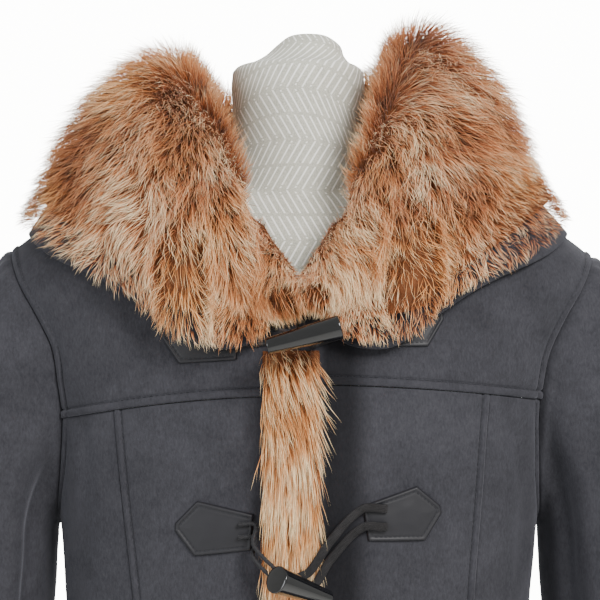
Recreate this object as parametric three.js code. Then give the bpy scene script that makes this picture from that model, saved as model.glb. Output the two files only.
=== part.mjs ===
// A hooded winter coat on a limbless dress form. Millimetres, +Z up, the front
// faces -Y, and the origin is the centre of the stand's underside on the floor.
// Every cloth piece is a thin wall; neighbouring pieces stop a seam apart.
import * as THREE from 'three';

// Driving dimensions
const WALL = 2;
const SEAM = 0.4;
const HEM_Z = 555;
const UNDERARM_Z = 1125;
const NECK_HALF = 75;
const SHOULDER_Z = 1392;
const SHOULDER_FALL = 64;
const SHOULDER_RUN = 150;
const SHOULDER_POWER = 1.8;
const RIDGE_DROP = 60;
const V_DROP = 92;
const V_POWER = 0.9;
const BACK_NECK_DROP = 14;
const ROUND = 2.4;
const FORM_ROUND = 2.6;
const TOP_ROWS = 9;
const TOP_POWER = 2;
const YOKE_HALF = 175;
const PATCH_GAP = 0.8;
const PATCH_WALL = 2.4;
const BAND = { left: -25, right: 15, top: 1257, thick: 22, skin: 3, gap: 1 };
const FUR_GAP = 0.5;
const HOOD_SEAT = 2.6;
const POUCH_GAP = 1.6;
const POLE_RADIUS = 12.5;
const BASE = { radius: 190, height: 16, edge: 4 };
const FORM_BOTTOM = 745;
const FORM_GAP = 4.3;
const FUR_CLEAR = 2.4;

const COLOURS = {
  cloth: { color: 0x24262c, roughness: 0.95, metalness: 0 },
  fur: { color: 0xa5785a, roughness: 1, metalness: 0 },
  jersey: { color: 0xa5a59b, roughness: 0.9, metalness: 0 },
  leather: { color: 0x1d1d20, roughness: 0.55, metalness: 0 },
  cord: { color: 0x1a1a1c, roughness: 0.85, metalness: 0 },
  horn: { color: 0x0d0d10, roughness: 0.18, metalness: 0 },
  stand: { color: 0x18191b, roughness: 0.45, metalness: 0.6 },
};

// The coat's horizontal sections: half width, depth of the front and the back
const BODY = [
  { z: 555, half: 216, front: 136, back: 130 },
  { z: 735, half: 203, front: 126, back: 117 },
  { z: 870, half: 189, front: 119, back: 105 },
  { z: 1000, half: 175, front: 113, back: 95 },
  { z: 1060, half: 179, front: 114, back: 97 },
  { z: 1125, half: 183, front: 117, back: 102 },
  { z: 1205, half: 190, front: 118, back: 108 },
  { z: 1255, half: 206, front: 113, back: 110 },
  { z: 1305, half: 240, front: 102, back: 108 },
  { z: 1345, half: 262, front: 96, back: 104 },
  { z: 1400, half: 275, front: 94, back: 100 },
];

// The form's sections
const FORM = [
  { z: 745, half: 148, front: 92, back: 98 },
  { z: 800, half: 158, front: 98, back: 104 },
  { z: 870, half: 152, front: 94, back: 94 },
  { z: 940, half: 134, front: 86, back: 82 },
  { z: 1000, half: 122, front: 82, back: 74 },
  { z: 1060, half: 128, front: 90, back: 78 },
  { z: 1120, half: 142, front: 102, back: 84 },
  { z: 1170, half: 150, front: 108, back: 90 },
  { z: 1220, half: 156, front: 106, back: 94 },
  { z: 1260, half: 165, front: 102, back: 96 },
  { z: 1305, half: 174, front: 93, back: 96 },
  { z: 1345, half: 177, front: 88, back: 94 },
  { z: 1400, half: 178, front: 86, back: 92 },
];

// The form's neck
const NECK = [
  { z: 1368, radius: 66 },
  { z: 1380, radius: 59 },
  { z: 1395, radius: 54 },
  { z: 1412, radius: 51.5 },
  { z: 1440, radius: 51 },
  { z: 1458, radius: 52 },
  { z: 1470, radius: 51 },
];

// The neck cap above its rim: a rounded edge, a hollow slope and a knob set a little aside
const CAP = [
  { z: 1474, radius: 47, aside: 0 },
  { z: 1477, radius: 39, aside: 2 },
  { z: 1483, radius: 31, aside: 5 },
  { z: 1491, radius: 25, aside: 8 },
  { z: 1498, radius: 16, aside: 8 },
  { z: 1500, radius: 7, aside: 8 },
];

// Each side has its own armhole edge, yoke seam and princess seam
const SIDES = {
  L: {
    sign: -1,
    yoke: { middle: 1225, fall: 20 },
    armhole: [
      { z: 1125, x: 183 },
      { z: 1165, x: 178 },
      { z: 1205, x: 175 },
      { z: 1230, x: 177 },
      { z: 1255, x: 181 },
      { z: 1280, x: 192 },
      { z: 1305, x: 207 },
      { z: 1332, x: 221 },
    ],
    princess: [
      { z: 555, x: 140 },
      { z: 735, x: 129 },
      { z: 870, x: 120 },
      { z: 1000, x: 114 },
      { z: 1080, x: 119 },
      { z: 1150, x: 127 },
      { z: 1215, x: 133 },
    ],
    lift: 1,
    reach: 1,
  },
  R: {
    sign: 1,
    yoke: { middle: 1233, fall: 13 },
    armhole: [
      { z: 1125, x: 183 },
      { z: 1165, x: 180 },
      { z: 1205, x: 180 },
      { z: 1230, x: 182 },
      { z: 1255, x: 187 },
      { z: 1280, x: 199 },
      { z: 1305, x: 214 },
      { z: 1327, x: 227 },
    ],
    princess: [
      { z: 555, x: 150 },
      { z: 735, x: 138 },
      { z: 870, x: 129 },
      { z: 1000, x: 124 },
      { z: 1080, x: 128 },
      { z: 1150, x: 133 },
      { z: 1225, x: 139 },
    ],
    lift: 1.26,
    reach: 0.96,
  },
};

// Heights of the body's rows below the yoke seam
const LOWER_ROWS = [1182, 1152, 1134, 1125, 1085, 1040, 995, 940, 880, 810, 735, 660, 600, 555];
const ARMHOLE_ROWS = 4;

// Skirt and body folds: plan angle from the front, width, height at the hem, where it starts
const FOLDS = [
  { side: -1, at: 38, wide: 12, high: 5, top: 1010 },
  { side: -1, at: 74, wide: 12, high: 7, top: 1050 },
  { side: -1, at: 128, wide: 14, high: 8, top: 1020 },
  { side: 1, at: 50, wide: 13, high: 6, top: 1030 },
  { side: 1, at: 84, wide: 12, high: 7, top: 1060 },
  { side: 1, at: 140, wide: 14, high: 8, top: 1000 },
  { side: 1, at: 172, wide: 12, high: 5, top: 980 },
];

// Sleeve sections from the underarm down to the cuff
const SLEEVE = [
  { z: 1108, x: 238, y: 2, wide: 50, deep: 79 },
  { z: 1070, x: 241, y: 0, wide: 51, deep: 76 },
  { z: 1020, x: 244, y: -2, wide: 50, deep: 74 },
  { z: 975, x: 247, y: -5, wide: 48, deep: 73 },
  { z: 940, x: 249, y: -7, wide: 50, deep: 74 },
  { z: 900, x: 251, y: -11, wide: 47, deep: 71 },
  { z: 850, x: 254, y: -16, wide: 45, deep: 68 },
  { z: 795, x: 257, y: -21, wide: 43, deep: 65 },
  { z: 735, x: 260, y: -26, wide: 41, deep: 63 },
];
const SLEEVE_STEPS = [0, 0.1, 0.28, 0.5, 0.75];

// The hood folded down: for each plan angle the cloth's line from the neckline
// up over its roll and down to its free edge, and the fur's depth along it
const HOOD = [
  { a: 3, over: 6, r: [106, 109, 114, 118, 120, 0],
    z: [1308, 1311, 1310, 1304, 1298, 1290], fur: [3, 12, 20] },
  { a: 8, over: 10, r: [106, 109, 115, 119, 121, 0],
    z: [1318, 1322, 1322, 1312, 1298, 1284], fur: [3, 17, 22] },
  { a: 13, over: 12.5, r: [105, 108, 115, 120, 0, 0],
    z: [1328, 1336, 1336, 1321, 1294, 1266], fur: [3, 20, 25] },
  { a: 21, over: 12.5, r: [103, 106, 114, 124, 0, 0],
    z: [1343, 1355, 1358, 1338, 1300, 1259], fur: [3, 25, 28] },
  { a: 30, over: 12.5, r: [99, 101, 110, 127, 138, 0],
    z: [1360, 1378, 1386, 1358, 1308, 1261], fur: [4, 27, 28] },
  { a: 40, over: 12.5, r: [95, 95, 107, 130, 148, 0],
    z: [1379, 1402, 1413, 1385, 1330, 1279], fur: [5, 27, 28] },
  { a: 52, over: 9, r: [88, 88, 104, 134, 160, 0],
    z: [1391, 1417, 1435, 1407, 1352, 1301], fur: [8, 28, 28] },
  { a: 66, over: 6.3, r: [84, 84, 102, 138, 168, 0],
    z: [1396, 1431, 1453, 1426, 1374, 1324], fur: [13, 28, 27] },
  { a: 80, over: 6.3, r: [79.5, 82, 100, 140, 174, 0],
    z: [1395, 1438, 1464, 1437, 1390, 1342], fur: [19, 28, 26] },
  { a: 95, over: 6.3, r: [79.5, 82, 100, 140, 176, 0],
    z: [1395, 1440, 1465, 1440, 1396, 1350], fur: [21, 28, 26] },
  { a: 115, over: 6.3, r: [81, 84, 103, 140, 172, 190],
    z: [1396, 1438, 1460, 1436, 1392, 1348], fur: [19, 28, 26] },
  { a: 140, over: 6.3, r: [85, 88, 108, 140, 166, 182],
    z: [1393, 1426, 1446, 1424, 1384, 1342], fur: [16, 27, 25] },
  { a: 180, over: 6.3, r: [92, 95, 114, 142, 162, 172],
    z: [1388, 1406, 1422, 1403, 1368, 1332], fur: [14, 24, 24] },
];
const HOOD_ANGLES = [3, 8, 13, 21, 30, 40, 52, 66, 80, 95, 110, 126, 144, 162, 180];
const HOOD_STEPS = 10;

// The hood's pouch hanging at the back
const POUCH = [
  { z: 1345, wide: 116, deep: 19 },
  { z: 1318, wide: 119, deep: 22 },
  { z: 1288, wide: 115, deep: 22 },
  { z: 1258, wide: 103, deep: 20 },
  { z: 1233, wide: 84, deep: 16 },
  { z: 1216, wide: 60, deep: 11 },
];
const POUCH_TIP = 1206;

// Closures: the centre and turn of each patch and toggle. The toggle's second turn swings
// its wide end forwards; stand moves it ahead of the cord, and ends gives its two radii.
const CLOSURES = [
  { left: [-70, 1266, -6], right: [77, 1277, 10],
    toggle: [4, 1268, 15, 0], out: 10, low: 2, stand: 0.6, ends: [5.6, 8.4] },
  { left: [-60, 1130, -3], right: [75, 1139, 9],
    toggle: [3, 1098, -28, 40], out: 0, low: 0, stand: 18, ends: [9.4, 5.4] },
  { left: [-60, 988, 2], right: [74, 993, 4],
    toggle: [0, 966, -8, 0], out: 0, low: 0, stand: 0.9, ends: [8.6, 5.4] },
  { left: [-60, 846, -2], right: [75, 850, 5],
    toggle: [-2, 822, 6, 0], out: 0, low: 0, stand: 0.9, ends: [8.6, 5.4] },
];
const PATCH = { wide: 56, inner: 13, widest: 20, corner: 0.73, tip: 2.6 };
const TOGGLE = { length: 52, middle: 7, edge: 1.2 };
const STRAP = { wide: 6.5, thick: 1.8 };
const CORD_RADIUS = 1.5;
// How much deeper the lower loops lie on the front band's arch than at its crest
const LOOP_SINK = 0.95;

const rad = THREE.MathUtils.degToRad;
const lerp = THREE.MathUtils.lerp;

// A value from a table's column, on a smooth curve through its rows
function curve(rows, key, column, at) {
  const last = rows.length - 1;
  if (at <= rows[0][key]) return rows[0][column];
  if (at >= rows[last][key]) return rows[last][column];
  let i = 0;
  while (rows[i + 1][key] < at) i += 1;
  const slope = (k) => {
    const a = Math.max(k - 1, 0);
    const b = Math.min(k + 1, last);
    return (rows[b][column] - rows[a][column]) / (rows[b][key] - rows[a][key]);
  };
  const span = rows[i + 1][key] - rows[i][key];
  const t = (at - rows[i][key]) / span;
  const t2 = t * t;
  const t3 = t2 * t;
  return (2 * t3 - 3 * t2 + 1) * rows[i][column] + (t3 - 2 * t2 + t) * span * slope(i)
    + (3 * t2 - 2 * t3) * rows[i + 1][column] + (t3 - t2) * span * slope(i + 1);
}

function shoulderLine(x) {
  const run = Math.max(x - NECK_HALF, 0) / SHOULDER_RUN;
  return SHOULDER_Z - SHOULDER_FALL * run ** SHOULDER_POWER;
}

// How far a fold lifts the cloth at a plan angle and a height
function foldLift(x, y, z) {
  const angle = THREE.MathUtils.radToDeg(Math.atan2(Math.abs(x), -y));
  let lift = 0;
  for (const fold of FOLDS) {
    if (Math.sign(x || 1) === fold.side && z < fold.top) {
      const grow = (fold.top - z) / (fold.top - HEM_Z);
      lift += fold.high * grow * Math.exp(-(((angle - fold.at) / fold.wide) ** 2));
    }
  }
  return lift;
}

function ridge(drop) {
  const t = THREE.MathUtils.clamp(drop / RIDGE_DROP, 0, 1);
  return Math.sqrt(1 - (1 - t) ** 2);
}

// Depth of the coat's outer face in front of or behind the side plane
function coatDepth(face, x, z) {
  const across = Math.min(x / curve(BODY, 'z', 'half', z), 1);
  const round = (1 - across ** ROUND) ** (1 / ROUND);
  return curve(BODY, 'z', face, z) * round * ridge(shoulderLine(x) - z);
}

// The coat's radius along a plan angle at a height, grown by a clearance
function coatRadius(angle, z, grow) {
  const sin = Math.sin(rad(angle));
  const cos = Math.cos(rad(angle));
  const face = cos > 0 ? 'front' : 'back';
  let inside = 0;
  let outside = 400;
  for (let i = 0; i < 40; i += 1) {
    const r = (inside + outside) / 2;
    const across = r * sin / (curve(BODY, 'z', 'half', z) + grow);
    const round = across < 1 ? (1 - across ** ROUND) ** (1 / ROUND) : 0;
    const deep = (curve(BODY, 'z', face, z) + grow) * round
      * ridge(shoulderLine(r * sin) + grow - z);
    if (across < 1 && shoulderLine(r * sin) + grow > z && Math.abs(r * cos) <= deep) inside = r;
    else outside = r;
  }
  return inside;
}

function yokeSeam(side, x) {
  return side.yoke.middle - side.yoke.fall * (x / YOKE_HALF) ** 2;
}

function neckDrop(face, x) {
  if (x >= NECK_HALF) return 0;
  if (face === 'front') return V_DROP * (1 - x / NECK_HALF) ** V_POWER;
  return BACK_NECK_DROP * Math.sqrt(1 - (x / NECK_HALF) ** 2);
}

// The angle round the section at which a width is reached
function turnAt(x, z) {
  return Math.asin(Math.min(x / curve(BODY, 'z', 'half', z), 1) ** (ROUND / 2));
}

function edgeTurn(side, z) {
  return z <= UNDERARM_Z ? Math.PI / 2 : turnAt(curve(side.armhole, 'z', 'x', z), z);
}

function widthAt(side, u, z) {
  return curve(BODY, 'z', 'half', z) * Math.sin(u * edgeTurn(side, z)) ** (2 / ROUND);
}

function bodyPoint(side, face, x, z, shift) {
  const facing = face === 'front' ? -1 : 1;
  const y = facing * (coatDepth(face, x, z) + shift);
  const lift = 1 + foldLift(side.sign * x, y, z) / Math.hypot(x, y);
  return new THREE.Vector3(side.sign * x * lift, y * lift, z);
}

// A point of the part above the yoke seam's height, from the shoulder (v 0) to the seam (v 1)
function upperPoint(side, face, u, v, trim) {
  let z = yokeSeam(side, YOKE_HALF * u);
  for (let i = 0; i < 40; i += 1) {
    const x = widthAt(side, u, z);
    const top = shoulderLine(x) - neckDrop(face, x);
    const next = lerp(top, yokeSeam(side, x) + trim, v ** TOP_POWER);
    z = (z + next) / 2;
  }
  return bodyPoint(side, face, widthAt(side, u, z), z, SEAM / 2);
}

// A closed body from two facing grids of points, outer[row][column] and inner
function slab(outer, inner) {
  const rows = outer.length;
  const columns = outer[0].length;
  const points = [...outer.flat(), ...inner.flat()];
  const out = (i, j) => i * columns + j;
  const back = (i, j) => rows * columns + i * columns + j;
  const faces = [];
  const quad = (a, b, c, d) => faces.push(a, b, c, a, c, d);
  for (let i = 0; i < rows - 1; i += 1) {
    for (let j = 0; j < columns - 1; j += 1) {
      quad(out(i, j), out(i, j + 1), out(i + 1, j + 1), out(i + 1, j));
      quad(back(i, j), back(i + 1, j), back(i + 1, j + 1), back(i, j + 1));
    }
    quad(out(i, 0), out(i + 1, 0), back(i + 1, 0), back(i, 0));
    const e = columns - 1;
    quad(out(i, e), back(i, e), back(i + 1, e), out(i + 1, e));
  }
  for (let j = 0; j < columns - 1; j += 1) {
    const e = rows - 1;
    quad(out(0, j), back(0, j), back(0, j + 1), out(0, j + 1));
    quad(out(e, j), out(e, j + 1), back(e, j + 1), back(e, j));
  }
  return bodyFrom(points, faces);
}

// A closed body through rings of points; its ends are closed, or joined to each other
function loft(rings, joined) {
  const n = rings[0].length;
  const points = rings.flat();
  const faces = [];
  const spans = joined ? rings.length : rings.length - 1;
  for (let i = 0; i < spans; i += 1) {
    const a = i * n;
    const b = ((i + 1) % rings.length) * n;
    for (let j = 0; j < n; j += 1) {
      const k = (j + 1) % n;
      faces.push(a + j, a + k, b + k, a + j, b + k, b + j);
    }
  }
  if (!joined) {
    for (const [ring, order] of [[0, -1], [rings.length - 1, 1]]) {
      const middle = new THREE.Vector3();
      rings[ring].forEach((p) => middle.add(p));
      points.push(middle.divideScalar(n));
      for (let j = 0; j < n; j += 1) {
        const k = (j + 1) % n;
        const pair = order > 0 ? [j, k] : [k, j];
        faces.push(ring * n + pair[0], ring * n + pair[1], points.length - 1);
      }
    }
  }
  return bodyFrom(points, faces);
}

// The faces are turned to point out of the body
function bodyFrom(points, faces) {
  let volume = 0;
  for (let i = 0; i < faces.length; i += 3) {
    const [a, b, c] = [points[faces[i]], points[faces[i + 1]], points[faces[i + 2]]];
    volume += a.dot(b.clone().cross(c));
  }
  const order = volume > 0 ? faces : faces.slice().reverse();
  const geometry = new THREE.BufferGeometry();
  const flat = points.flatMap((p) => [p.x, p.y, p.z]);
  geometry.setAttribute('position', new THREE.Float32BufferAttribute(flat, 3));
  geometry.setIndex(order);
  return geometry;
}

// The normals of a surface at a grid of its parameters
function normalsOf(surface, us, vs, turn) {
  const step = 0.002;
  const range = (list, value) => {
    const low = Math.min(...list);
    const high = Math.max(...list);
    const small = step * (high - low);
    return [Math.max(value - small, low), Math.min(value + small, high)];
  };
  return vs.map((v) => us.map((u) => {
    const [u0, u1] = range(us, u);
    const [v0, v1] = range(vs, v);
    const across = surface(u1, v).sub(surface(u0, v));
    const down = surface(u, v1).sub(surface(u, v0));
    return across.cross(down).normalize().multiplyScalar(turn);
  }));
}

const group = new THREE.Group();

function add(name, look, geometry) {
  geometry.computeVertexNormals();
  const mesh = new THREE.Mesh(geometry, new THREE.MeshStandardMaterial(COLOURS[look]));
  mesh.name = name;
  group.add(mesh);
}

// A cloth wall whose outer face is the surface
function wallOf(surface, us, vs, turn, thick = WALL) {
  const outer = vs.map((v) => us.map((u) => surface(u, v)));
  const normals = normalsOf(surface, us, vs, turn);
  const inner = outer.map((row, i) => row.map((p, j) => (
    p.clone().addScaledVector(normals[i][j], -thick))));
  return slab(outer, inner);
}

const steps = (count) => Array.from({ length: count + 1 }, (_, i) => i / count);

// Yokes
const YOKE_COLUMNS = [0, 0.07, 0.145, 0.216, 0.32, 0.43, 0.56, 0.7, 0.85, 1];
for (const [letter, side] of Object.entries(SIDES)) {
  const surface = (u, v) => upperPoint(side, 'front', Math.max(u, 0.001), v, SEAM / 2);
  add(`yoke_${letter}`, 'cloth', wallOf(surface, YOKE_COLUMNS, steps(TOP_ROWS), -side.sign));
}

// Fronts: rows from the yoke seam to the hem, split at the princess seam
function lowerHeight(side, x, row) {
  if (row === 0) return yokeSeam(side, x) - SEAM / 2;
  const low = Math.floor(row);
  const top = low === 0 ? yokeSeam(side, x) - SEAM / 2 : LOWER_ROWS[low - 1];
  const foot = LOWER_ROWS[Math.min(low, LOWER_ROWS.length - 1)];
  return lerp(top, foot, row - low);
}

function frontPoint(side, from, to, u, row) {
  let z = lowerHeight(side, YOKE_HALF * u, row);
  let x = 0;
  for (let i = 0; i < 12; i += 1) {
    const turn = lerp(from(z), to(z), u);
    x = curve(BODY, 'z', 'half', z) * Math.sin(turn) ** (2 / ROUND);
    z = lowerHeight(side, x, row);
  }
  return bodyPoint(side, 'front', x, z, SEAM / 2);
}

const ROW_NUMBERS = Array.from({ length: LOWER_ROWS.length + 1 }, (_, i) => i);
for (const [letter, side] of Object.entries(SIDES)) {
  const seamTurn = (shift) => (z) => turnAt(curve(side.princess, 'z', 'x', z) + shift, z);
  const centre = (u, row) => frontPoint(side, () => 0.002, seamTurn(-SEAM / 2), u, row);
  const flank = (u, row) => frontPoint(side, seamTurn(SEAM / 2), (z) => edgeTurn(side, z), u, row);
  add(`centre_front_${letter}`, 'cloth', wallOf(centre, steps(6), ROW_NUMBERS, -side.sign));
  add(`side_front_${letter}`, 'cloth', wallOf(flank, steps(6), ROW_NUMBERS, -side.sign));
}

// The back, one panel from side seam to side seam
function backPoint(u, row) {
  const side = u < 0 ? SIDES.L : SIDES.R;
  const across = Math.max(Math.abs(u), 0.0005);
  if (row <= TOP_ROWS) return upperPoint(side, 'back', across, row / TOP_ROWS, 0);
  const low = row - TOP_ROWS;
  let z = lowerHeight(side, YOKE_HALF * across, low);
  for (let i = 0; i < 12; i += 1) z = lowerHeight(side, widthAt(side, across, z), low);
  return bodyPoint(side, 'back', widthAt(side, across, z), z, SEAM / 2);
}
const BACK_HALF = [0.216, 0.32, 0.43, 0.56, 0.7, 0.85, 1];
const BACK_COLUMNS = [...BACK_HALF.map((u) => -u).reverse(), -0.1, 0, 0.1, ...BACK_HALF];
const BACK_ROWS = Array.from({ length: TOP_ROWS + LOWER_ROWS.length + 1 }, (_, i) => i);
add('back', 'cloth', wallOf(backPoint, BACK_COLUMNS, BACK_ROWS, 1));

// Sleeves: rings from the armhole's own points out over the arm and down to the cuff
function armholeRing(side) {
  const front = [];
  for (let i = 0; i < TOP_ROWS; i += 1) front.push(upperPoint(side, 'front', 1, i / TOP_ROWS, 0));
  for (let row = 0; row <= ARMHOLE_ROWS; row += 1) {
    const z = row === 0 ? yokeSeam(side, YOKE_HALF) : LOWER_ROWS[row - 1];
    front.push(bodyPoint(side, 'front', curve(side.armhole, 'z', 'x', z), z, SEAM / 2));
  }
  const rear = front.slice(1, -1).reverse().map((p) => (
    bodyPoint(side, 'back', Math.abs(p.x), p.z, SEAM / 2)));
  front[0].y = 0;
  front[front.length - 1].y = 0;
  return [...front, ...rear];
}

// Each ring point's angle: 0 outside at the top, 90 at the front, 180 at the underarm
function ringAngles(ring) {
  const bottom = ring.reduce((best, p, i) => (p.z < ring[best].z ? i : best), 0);
  const n = ring.length;
  const run = (from, to) => {
    const sums = [0];
    for (let i = from; i < to; i += 1) {
      sums.push(sums[sums.length - 1] + ring[i % n].distanceTo(ring[(i + 1) % n]));
    }
    return sums.map((s) => 180 * s / sums[sums.length - 1]);
  };
  const down = run(0, bottom);
  const up = run(bottom, n).map((a) => 180 + a);
  return [...down, ...up.slice(1, -1)];
}

function sleevePoint(side, ring, angles, j, step) {
  const angle = rad(angles[j]);
  const low = Math.max(step - SLEEVE_STEPS.length, 0);
  const row = SLEEVE[Math.min(Math.floor(low), SLEEVE.length - 1)];
  const z = row.z;
  const folds = 2.5 * Math.sin(z / 17 + 1.3 * Math.cos(angle)) * Math.max(Math.cos(angle) + 0.35, 0);
  const target = new THREE.Vector3(
    side.sign * (row.x + (row.wide + folds) * Math.cos(angle)),
    row.y - row.deep * Math.sin(angle),
    z,
  );
  if (step >= SLEEVE_STEPS.length) return target;
  const t = SLEEVE_STEPS[step];
  const outside = (1 + Math.cos(angle)) / 2;
  const start = ring[j].clone();
  start.x += side.sign * SEAM * 2;
  const under = (1 - outside) ** 3;
  const away = new THREE.Vector3(
    side.sign,
    -0.22 * Math.sin(angle),
    -0.42 * outside - 0.1 - 0.5 * under,
  );
  const first = start.clone().addScaledVector(away, lerp(5, 46, outside ** 0.8));
  const second = target.clone().add(new THREE.Vector3(0, 0, lerp(3, 120, outside ** 0.8)));
  const s = 1 - t;
  return start.multiplyScalar(s ** 3).addScaledVector(first, 3 * s * s * t)
    .addScaledVector(second, 3 * s * t * t).addScaledVector(target, t ** 3);
}

for (const [letter, side] of Object.entries(SIDES)) {
  const ring = armholeRing(side);
  const angles = ringAngles(ring);
  const count = SLEEVE_STEPS.length + SLEEVE.length;
  const outer = [];
  for (let i = 0; i < count; i += 1) {
    outer.push(ring.map((_, j) => sleevePoint(side, ring, angles, j, i)));
  }
  const n = ring.length;
  const inner = outer.map((row, i) => row.map((p, j) => {
    const around = row[(j + 1) % n].clone().sub(row[(j + n - 1) % n]);
    const down = outer[Math.min(i + 1, count - 1)][j].clone().sub(outer[Math.max(i - 1, 0)][j]);
    return p.clone().addScaledVector(around.cross(down).normalize(), -WALL * side.sign);
  }));
  add(`sleeve_${letter}`, 'cloth', loft([...outer, ...inner.reverse()], true));
}

// Hood: a line for each plan angle, its cloth below the line and its fur above
function hoodRow(angle) {
  const points = HOOD[0].r.map((_, k) => {
    const rows = HOOD.map((row) => ({ a: row.a, r: row.r[k], z: row.z[k] }));
    return { r: curve(rows, 'a', 'r', angle), z: curve(rows, 'a', 'z', angle) };
  });
  const fur = HOOD[0].fur.map((_, k) => (
    curve(HOOD.map((row) => ({ a: row.a, f: row.fur[k] })), 'a', 'f', angle)));
  return { points, fur, over: curve(HOOD, 'a', 'over', angle) };
}

function hoodLine(side, angle) {
  const { points, fur, over } = hoodRow(angle);
  const line = points.map((p, k) => {
    const raised = k > 0 && k < 5 && p.z > SHOULDER_Z;
    const z = raised ? SHOULDER_Z + (p.z - SHOULDER_Z) * side.lift : p.z;
    const aside = THREE.MathUtils.smoothstep(angle, 30, 66);
    const reach = k > 1 && k < 5 ? lerp(1, side.reach, aside) : 1;
    const least = k > 0 ? over : HOOD_SEAT;
    return new THREE.Vector2(Math.max(p.r * reach, clearOf(angle, z, least)), z);
  });
  return { line: new THREE.SplineCurve(line), fur, over };
}

// The least radius at which the hood's cloth lies clear on the coat
function clearOf(angle, z, over) {
  return z < SHOULDER_Z ? coatRadius(angle, z, over) : 0;
}

const HOOD_LINES = Object.fromEntries(Object.entries(SIDES).map(([letter, side]) => (
  [letter, HOOD_ANGLES.map((angle) => hoodLine(side, angle))])));

function hoodGrids(letter) {
  const side = SIDES[letter];
  const vs = steps(HOOD_STEPS);
  const lines = HOOD_LINES[letter];
  const place = (i, p, v) => {
    const a = rad(HOOD_ANGLES[i]);
    const over = lerp(HOOD_SEAT, lines[i].over, Math.min(v * 3, 1));
    const r = Math.max(p.x, clearOf(HOOD_ANGLES[i], p.y, over));
    const x = Math.max(r * Math.sin(a), SEAM / 2);
    return new THREE.Vector3(side.sign * x, -r * Math.cos(a), p.y);
  };
  const base = vs.map((v) => lines.map((row, i) => place(i, row.line.getPoint(v), v)));
  const last = lines.length - 1;
  const normals = base.map((row, j) => row.map((_, i) => {
    const across = row[Math.min(i + 1, last)].clone().sub(row[Math.max(i - 1, 0)]);
    const down = base[Math.min(j + 1, HOOD_STEPS)][i].clone().sub(base[Math.max(j - 1, 0)][i]);
    const normal = across.cross(down).normalize().multiplyScalar(-side.sign);
    if (i === last) normal.x = 0;
    return normal.normalize();
  }));
  const moved = (by) => base.map((row, j) => row.map((p, i) => {
    const q = p.clone().addScaledVector(normals[j][i], by(lines[i].fur, vs[j]));
    const angle = THREE.MathUtils.radToDeg(Math.atan2(Math.abs(q.x), -q.y));
    const least = formRadius(angle, q.z) + FUR_CLEAR;
    const out = Math.max(least / Math.hypot(q.x, q.y), 1);
    return q.set(side.sign * Math.max(side.sign * q.x * out, SEAM / 2), q.y * out, q.z);
  }));
  return { base, moved };
}

function furDepth(fur, v) {
  const rows = [
    { s: 0, f: fur[0] },
    { s: 0.35, f: fur[1] },
    { s: 0.8, f: fur[2] + 1 },
    { s: 1, f: fur[2] - 6 },
  ];
  return curve(rows, 's', 'f', v);
}

for (const letter of Object.keys(SIDES)) {
  const { base, moved } = hoodGrids(letter);
  add(`hood_shell_${letter}`, 'cloth', slab(base, moved(() => -WALL)));
  add(`hood_fur_${letter}`, 'fur', slab(
    moved((fur, v) => FUR_GAP + furDepth(fur, v)), moved(() => FUR_GAP)));
}

// The pouch: a flattened cup lying against the back
function pouchRing(row, inset) {
  const count = 16;
  return Array.from({ length: count }, (_, j) => {
    const angle = 2 * Math.PI * j / count;
    const x = (row.wide - inset) * Math.cos(angle);
    const y = coatDepth('back', Math.abs(x), row.z) + POUCH_GAP + inset
      + (row.deep - inset) * (1 + Math.sin(angle));
    return new THREE.Vector3(x, y, row.z);
  });
}
const pouchTip = { z: POUCH_TIP, wide: 26, deep: 5 };
const pouchFloor = { z: POUCH_TIP + 5, wide: 34, deep: 6 };
add('hood_pouch', 'cloth', loft([
  pouchRing(pouchTip, 0),
  ...POUCH.slice().reverse().map((row) => pouchRing(row, 0)),
  ...POUCH.map((row) => pouchRing(row, WALL)),
  pouchRing(pouchFloor, WALL),
], false));

// The fur band down the front edge
function bandPoint(u, v, level) {
  const x = lerp(BAND.left, BAND.right, u);
  const z = lerp(BAND.top, HEM_Z + 2, v);
  const rise = (1 - Math.abs(2 * u - 1) ** 3) ** 0.5;
  const pile = BAND.skin + (BAND.thick - BAND.skin) * rise;
  return new THREE.Vector3(x, -(coatDepth('front', Math.abs(x), z) + BAND.gap + level * pile), z);
}
const bandColumns = [0, 0.12, 0.3, 0.5, 0.7, 0.88, 1];
const bandRows = steps(16);
const bandGrid = (level) => bandRows.map((v) => bandColumns.map((u) => bandPoint(u, v, level)));
add('front_fur_band', 'fur', slab(bandGrid(1), bandGrid(0)));

// Patches: a five-sided leather piece lying on the front
function patchGrid(side, [cx, cz, turn], lift) {
  const angle = rad(turn);
  return [-1, 0, 1].map((v) => [0, 0.35, PATCH.corner, 0.87, 1].map((u) => {
    const half = u <= PATCH.corner
      ? lerp(PATCH.inner, PATCH.widest, u / PATCH.corner)
      : lerp(PATCH.widest, PATCH.tip, (u - PATCH.corner) / (1 - PATCH.corner));
    const across = side.sign * (u - 0.5) * PATCH.wide;
    const x = cx + across * Math.cos(angle) - v * half * Math.sin(angle);
    const z = cz + across * Math.sin(angle) + v * half * Math.cos(angle);
    return bodyPoint(side, 'front', Math.abs(x), z, SEAM / 2 + PATCH_GAP + lift);
  }));
}

// How far the closures stand in front of the side plane at a height
const bandFront = (z) => coatDepth('front', 0, z) + BAND.gap + BAND.thick;

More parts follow.
